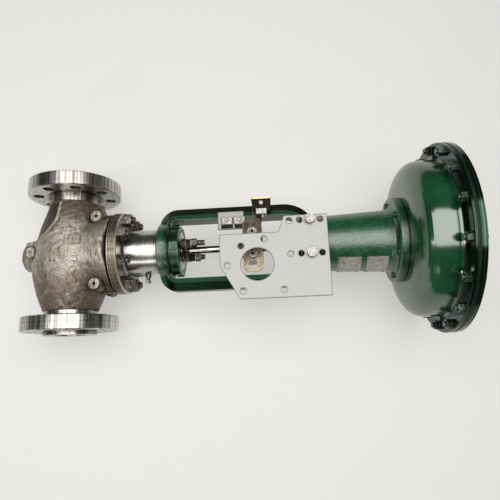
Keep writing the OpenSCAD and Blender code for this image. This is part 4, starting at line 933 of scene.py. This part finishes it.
def body_skin():
    """Outer skin of the casting: at x along the pipe and turned by t about it, the point
    (x, -reach cos t, reach sin t). Its open top lies under the bonnet. Its points carry how far
    below the ridge they are, for a painted shade there, and how near its edge, for a painted
    highlight along it."""
    x = np.linspace(-INLET_NECK, OUTLET_NECK, CASTING_ROWS)
    turn = np.linspace(0.0, 2.0 * math.pi, CASTING_COLUMNS, endpoint=False)
    reach, flat_top = casting_reach(x, turn)
    ring = np.full((1, CASTING_COLUMNS), RING_RADIUS - SKIN_SINK)
    reach = np.concatenate([ring, reach, ring])
    flat_top = np.concatenate([flat_top[:1], flat_top, flat_top[-1:]])
    x = np.concatenate([[x[0] - SKIN_RUN_ON], x, [x[-1] + SKIN_RUN_ON]])
    grid = np.stack(
        [
            STEM_X + MM * np.repeat(x[:, None], CASTING_COLUMNS, axis=1),
            -MM * reach * np.cos(turn),
            MM * reach * np.sin(turn),
        ],
        axis=-1,
    )
    quads = grid_quads(len(x), CASTING_COLUMNS)
    open_top = flat_top.reshape(-1)[quads].all(axis=1)
    points = grid.reshape(-1, 3)
    piece = add_piece(
        "body_skin", points, quads[~open_top], "cast_stainless", "valve", "valve_body"
    )
    below = np.interp(x, RIDGE_X, RIDGE_Z)[:, None] - reach * np.sin(turn)
    along = np.interp(x, RIDGE_FADE_X, [0.0, 1.0, 1.0, 0.0])[:, None]
    near = (np.cos(turn) > 0.0) * along
    # Values for the painted shade below the ridge and the painted highlight along its edge
    carry(piece, "under_ridge", near * np.clip(below / 2.0, 0.0, 1.0))
    carry(piece, "ridge_highlight", near * np.clip(1.8 - np.abs(below + 3.0) / 2.2, 0.0, 1.0))
    return x, reach


def body_inside(x, reach):
    """The turned ends and the passages of the body: the model's own faces, less those of its outer
    skin, with the turned rings carried on as far as the casting starts."""
    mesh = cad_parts["valve_body"].data.copy()
    mesh.name = "body_inside"
    points = np.empty(len(mesh.vertices) * 3)
    mesh.vertices.foreach_get("co", points)
    points = points.reshape(-1, 3)
    place = (points - (STEM_X, 0.0, 0.0)) / MM
    radius = np.hypot(place[:, 1], place[:, 2])
    turn = np.arctan2(place[:, 2], -place[:, 1]) % (2.0 * math.pi)
    row = np.clip(np.searchsorted(x, place[:, 0]), 0, len(x) - 1)
    column = np.rint(turn / (2.0 * math.pi) * CASTING_COLUMNS).astype(int) % CASTING_COLUMNS
    end = (place[:, 0] < x[0] + 0.5) | (place[:, 0] > x[-1] - 0.5)
    on_ring = (np.abs(radius - RING_RADIUS) < RING_SLACK) & (np.abs(place[:, 0]) > RING_FROM_X)
    on_top = (place[:, 2] > TOP_Z - FACE_SLACK) & (place[:, 2] < TOP_Z + FACE_SLACK)
    kept = end | on_ring | on_top | (radius < reach[row, column] - 1.0)
    corners = np.empty(len(mesh.loops), dtype=int)
    mesh.loops.foreach_get("vertex_index", corners)
    dropped = ~kept[corners.reshape(-1, 3)].all(axis=1)
    along = place[:, 0]
    along = np.where(on_ring & (along < 0.0), np.minimum(along, x[0]), along)
    along = np.where(on_ring & (along > 0.0), np.maximum(along, x[-1]), along)
    place[:, 0] = along
    mesh.vertices.foreach_set("co", (place * MM + (STEM_X, 0.0, 0.0)).reshape(-1))
    faces = bmesh.new()
    faces.from_mesh(mesh)
    faces.faces.ensure_lookup_table()
    outside = [faces.faces[i] for i in np.flatnonzero(dropped)]
    bmesh.ops.delete(faces, geom=outside, context="FACES")
    faces.to_mesh(mesh)
    faces.free()
    made = linked("body_inside", mesh)
    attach(made, "valve")
    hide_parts("valve_body")


def body_lugs():
    """Drilled lugs on both sides: revolves about lines across the pipe, each with a turned face, a
    step and a hole, sunk into the casting at their inner end."""
    parts = []
    for x, z, face, step, step_y in LUGS:
        profile = [(0.0, LUG_HOLE_END), (LUG_HOLE_RADIUS, LUG_HOLE_END)]
        profile += [(LUG_HOLE_RADIUS, LUG_END - 0.6), (LUG_HOLE_RADIUS + 0.6, LUG_END)]
        profile += [(face - 0.5, LUG_END), (face, LUG_END - 0.5), (face, step_y)]
        profile += [(step - 0.9, step_y), (step, step_y - 0.9), (step, LUG_ROOT), (0.0, LUG_ROOT)]
        points, quads = turned(MM * np.array(profile[::-1]), (0.0, 0.0, 0.0), "y")
        place = (STEM_X + MM * x, 0.0, MM * z)
        parts.append((points + place, quads))
        parts.append((points * (1.0, -1.0, 1.0) + place, quads[:, ::-1]))
    add_piece("body_lugs", *merged(parts), "cast_stainless", "valve", "valve_body")


def casing_lip():
    """Turned-up lip round the upper casing, a narrow ring with rounded edges, in front of the bolt
    heads."""
    profile = [(LIP_INNER, LIP_LOW), (LIP_OUTER, LIP_LOW), (LIP_OUTER, LIP_HIGH - LIP_ROUNDING)]
    profile += [(LIP_OUTER - LIP_ROUNDING, LIP_HIGH), (LIP_INNER + LIP_ROUNDING, LIP_HIGH)]
    profile += [(LIP_INNER, LIP_HIGH - LIP_ROUNDING), (LIP_INNER, LIP_LOW)]
    points, quads = turned(profile, (STEM_X, 0.0, 0.0), "z", 160)
    add_piece("casing_lip", points, quads, "green_gloss", "valve")


# ---- Board, lamps and camera ----


def pale_board():
    """A flat board behind the valve, y = (gap + z sin tilt) / cos tilt, seen only from in front."""
    along, across = np.meshgrid([-BOARD_HALF, BOARD_HALF], [-BOARD_HALF, BOARD_HALF])
    y = (BOARD_GAP + across * math.sin(BOARD_TILT)) / math.cos(BOARD_TILT)
    corners = np.stack([STEM_X + along, y, across], axis=-1).reshape(-1, 3)
    mesh = bpy.data.meshes.new("board")
    mesh.from_pydata(corners.tolist(), [], [(0, 1, 3, 2)])
    board = linked("board", mesh)
    material = bpy.data.materials.new("board")
    start = empty_tree(material)
    cloud = start.node("ShaderNodeTexNoise", inputs={"Scale": 1.6, "Detail": 3.0})
    colour = cloud.between([0.98 * c for c in BOARD_COLOUR], BOARD_COLOUR)
    front = start.node(
        "ShaderNodeBsdfPrincipled", inputs={"Base Color": colour, "Roughness": 0.8}
    )
    seen = start.node("ShaderNodeLightPath", output="Is Camera Ray").at_least(
        start.node("ShaderNodeLightPath", output="Is Glossy Ray")
    )
    glow = start.node(
        "ShaderNodeEmission", inputs={"Color": (*BOARD_GLOW, 1.0), "Strength": seen}
    )
    front = start.node("ShaderNodeAddShader", inputs={0: front, 1: glow})
    clear = start.node("ShaderNodeBsdfTransparent")
    behind = start.node("ShaderNodeNewGeometry", output="Backfacing")
    shader = start.node("ShaderNodeMixShader", inputs={0: behind, 1: front, 2: clear})
    start.node("ShaderNodeOutputMaterial", inputs={"Surface": shader})
    mesh.materials.append(material)


def lamp(name, place, target, width, height, power, colour):
    """A plain rectangular lamp at place, aimed at target."""
    data = bpy.data.lights.new(name, "AREA")
    data.shape = "RECTANGLE"
    data.size, data.size_y = width, height
    data.energy = power
    data.color = colour
    aim = Vector(target) - Vector(place)
    turn = aim.to_track_quat("-Z", "Y").to_matrix().to_4x4()
    linked(name, data).matrix_world = Matrix.Translation(place) @ turn


def light_room():
    """One wide window behind the camera, two small lamps beside it, and a dim even room."""
    for settings in LAMPS:
        lamp(*settings)
    world = bpy.data.worlds.new("room")
    bpy.context.scene.world = world
    start = empty_tree(world)
    seen = start.node("ShaderNodeLightPath", output="Is Camera Ray")
    glow = start.node(
        "ShaderNodeBackground",
        inputs={"Color": (*ROOM_COLOUR, 1.0), "Strength": seen * ROOM_SEEN + ROOM_LIGHT},
    )
    start.node("ShaderNodeOutputWorld", inputs={"Surface": glow})


def aim_camera():
    """Puts the camera where the photograph was taken from, with the stem running to the right."""
    forward = FORWARD.normalized()
    right = (RIGHT - RIGHT.dot(forward) * forward).normalized()
    up = right.cross(forward)
    data = bpy.data.cameras.new("camera")
    data.lens, data.sensor_width = LENS_MM, SENSOR_MM
    data.clip_start, data.clip_end = 0.01, 30.0
    made = linked("camera", data)
    turn = Matrix((right, up, -forward)).transposed().to_4x4()
    made.matrix_world = Matrix.Translation(EYE) @ turn
    bpy.context.scene.camera = made


aim_camera()
finishes = dress_nodes()
body_inside(*body_skin())
body_lugs()
feedback_parts()
scale_parts()
scale_slots()
casing_lip()
pale_board()
light_room()
bpy.context.scene.view_settings.view_transform = "Standard"
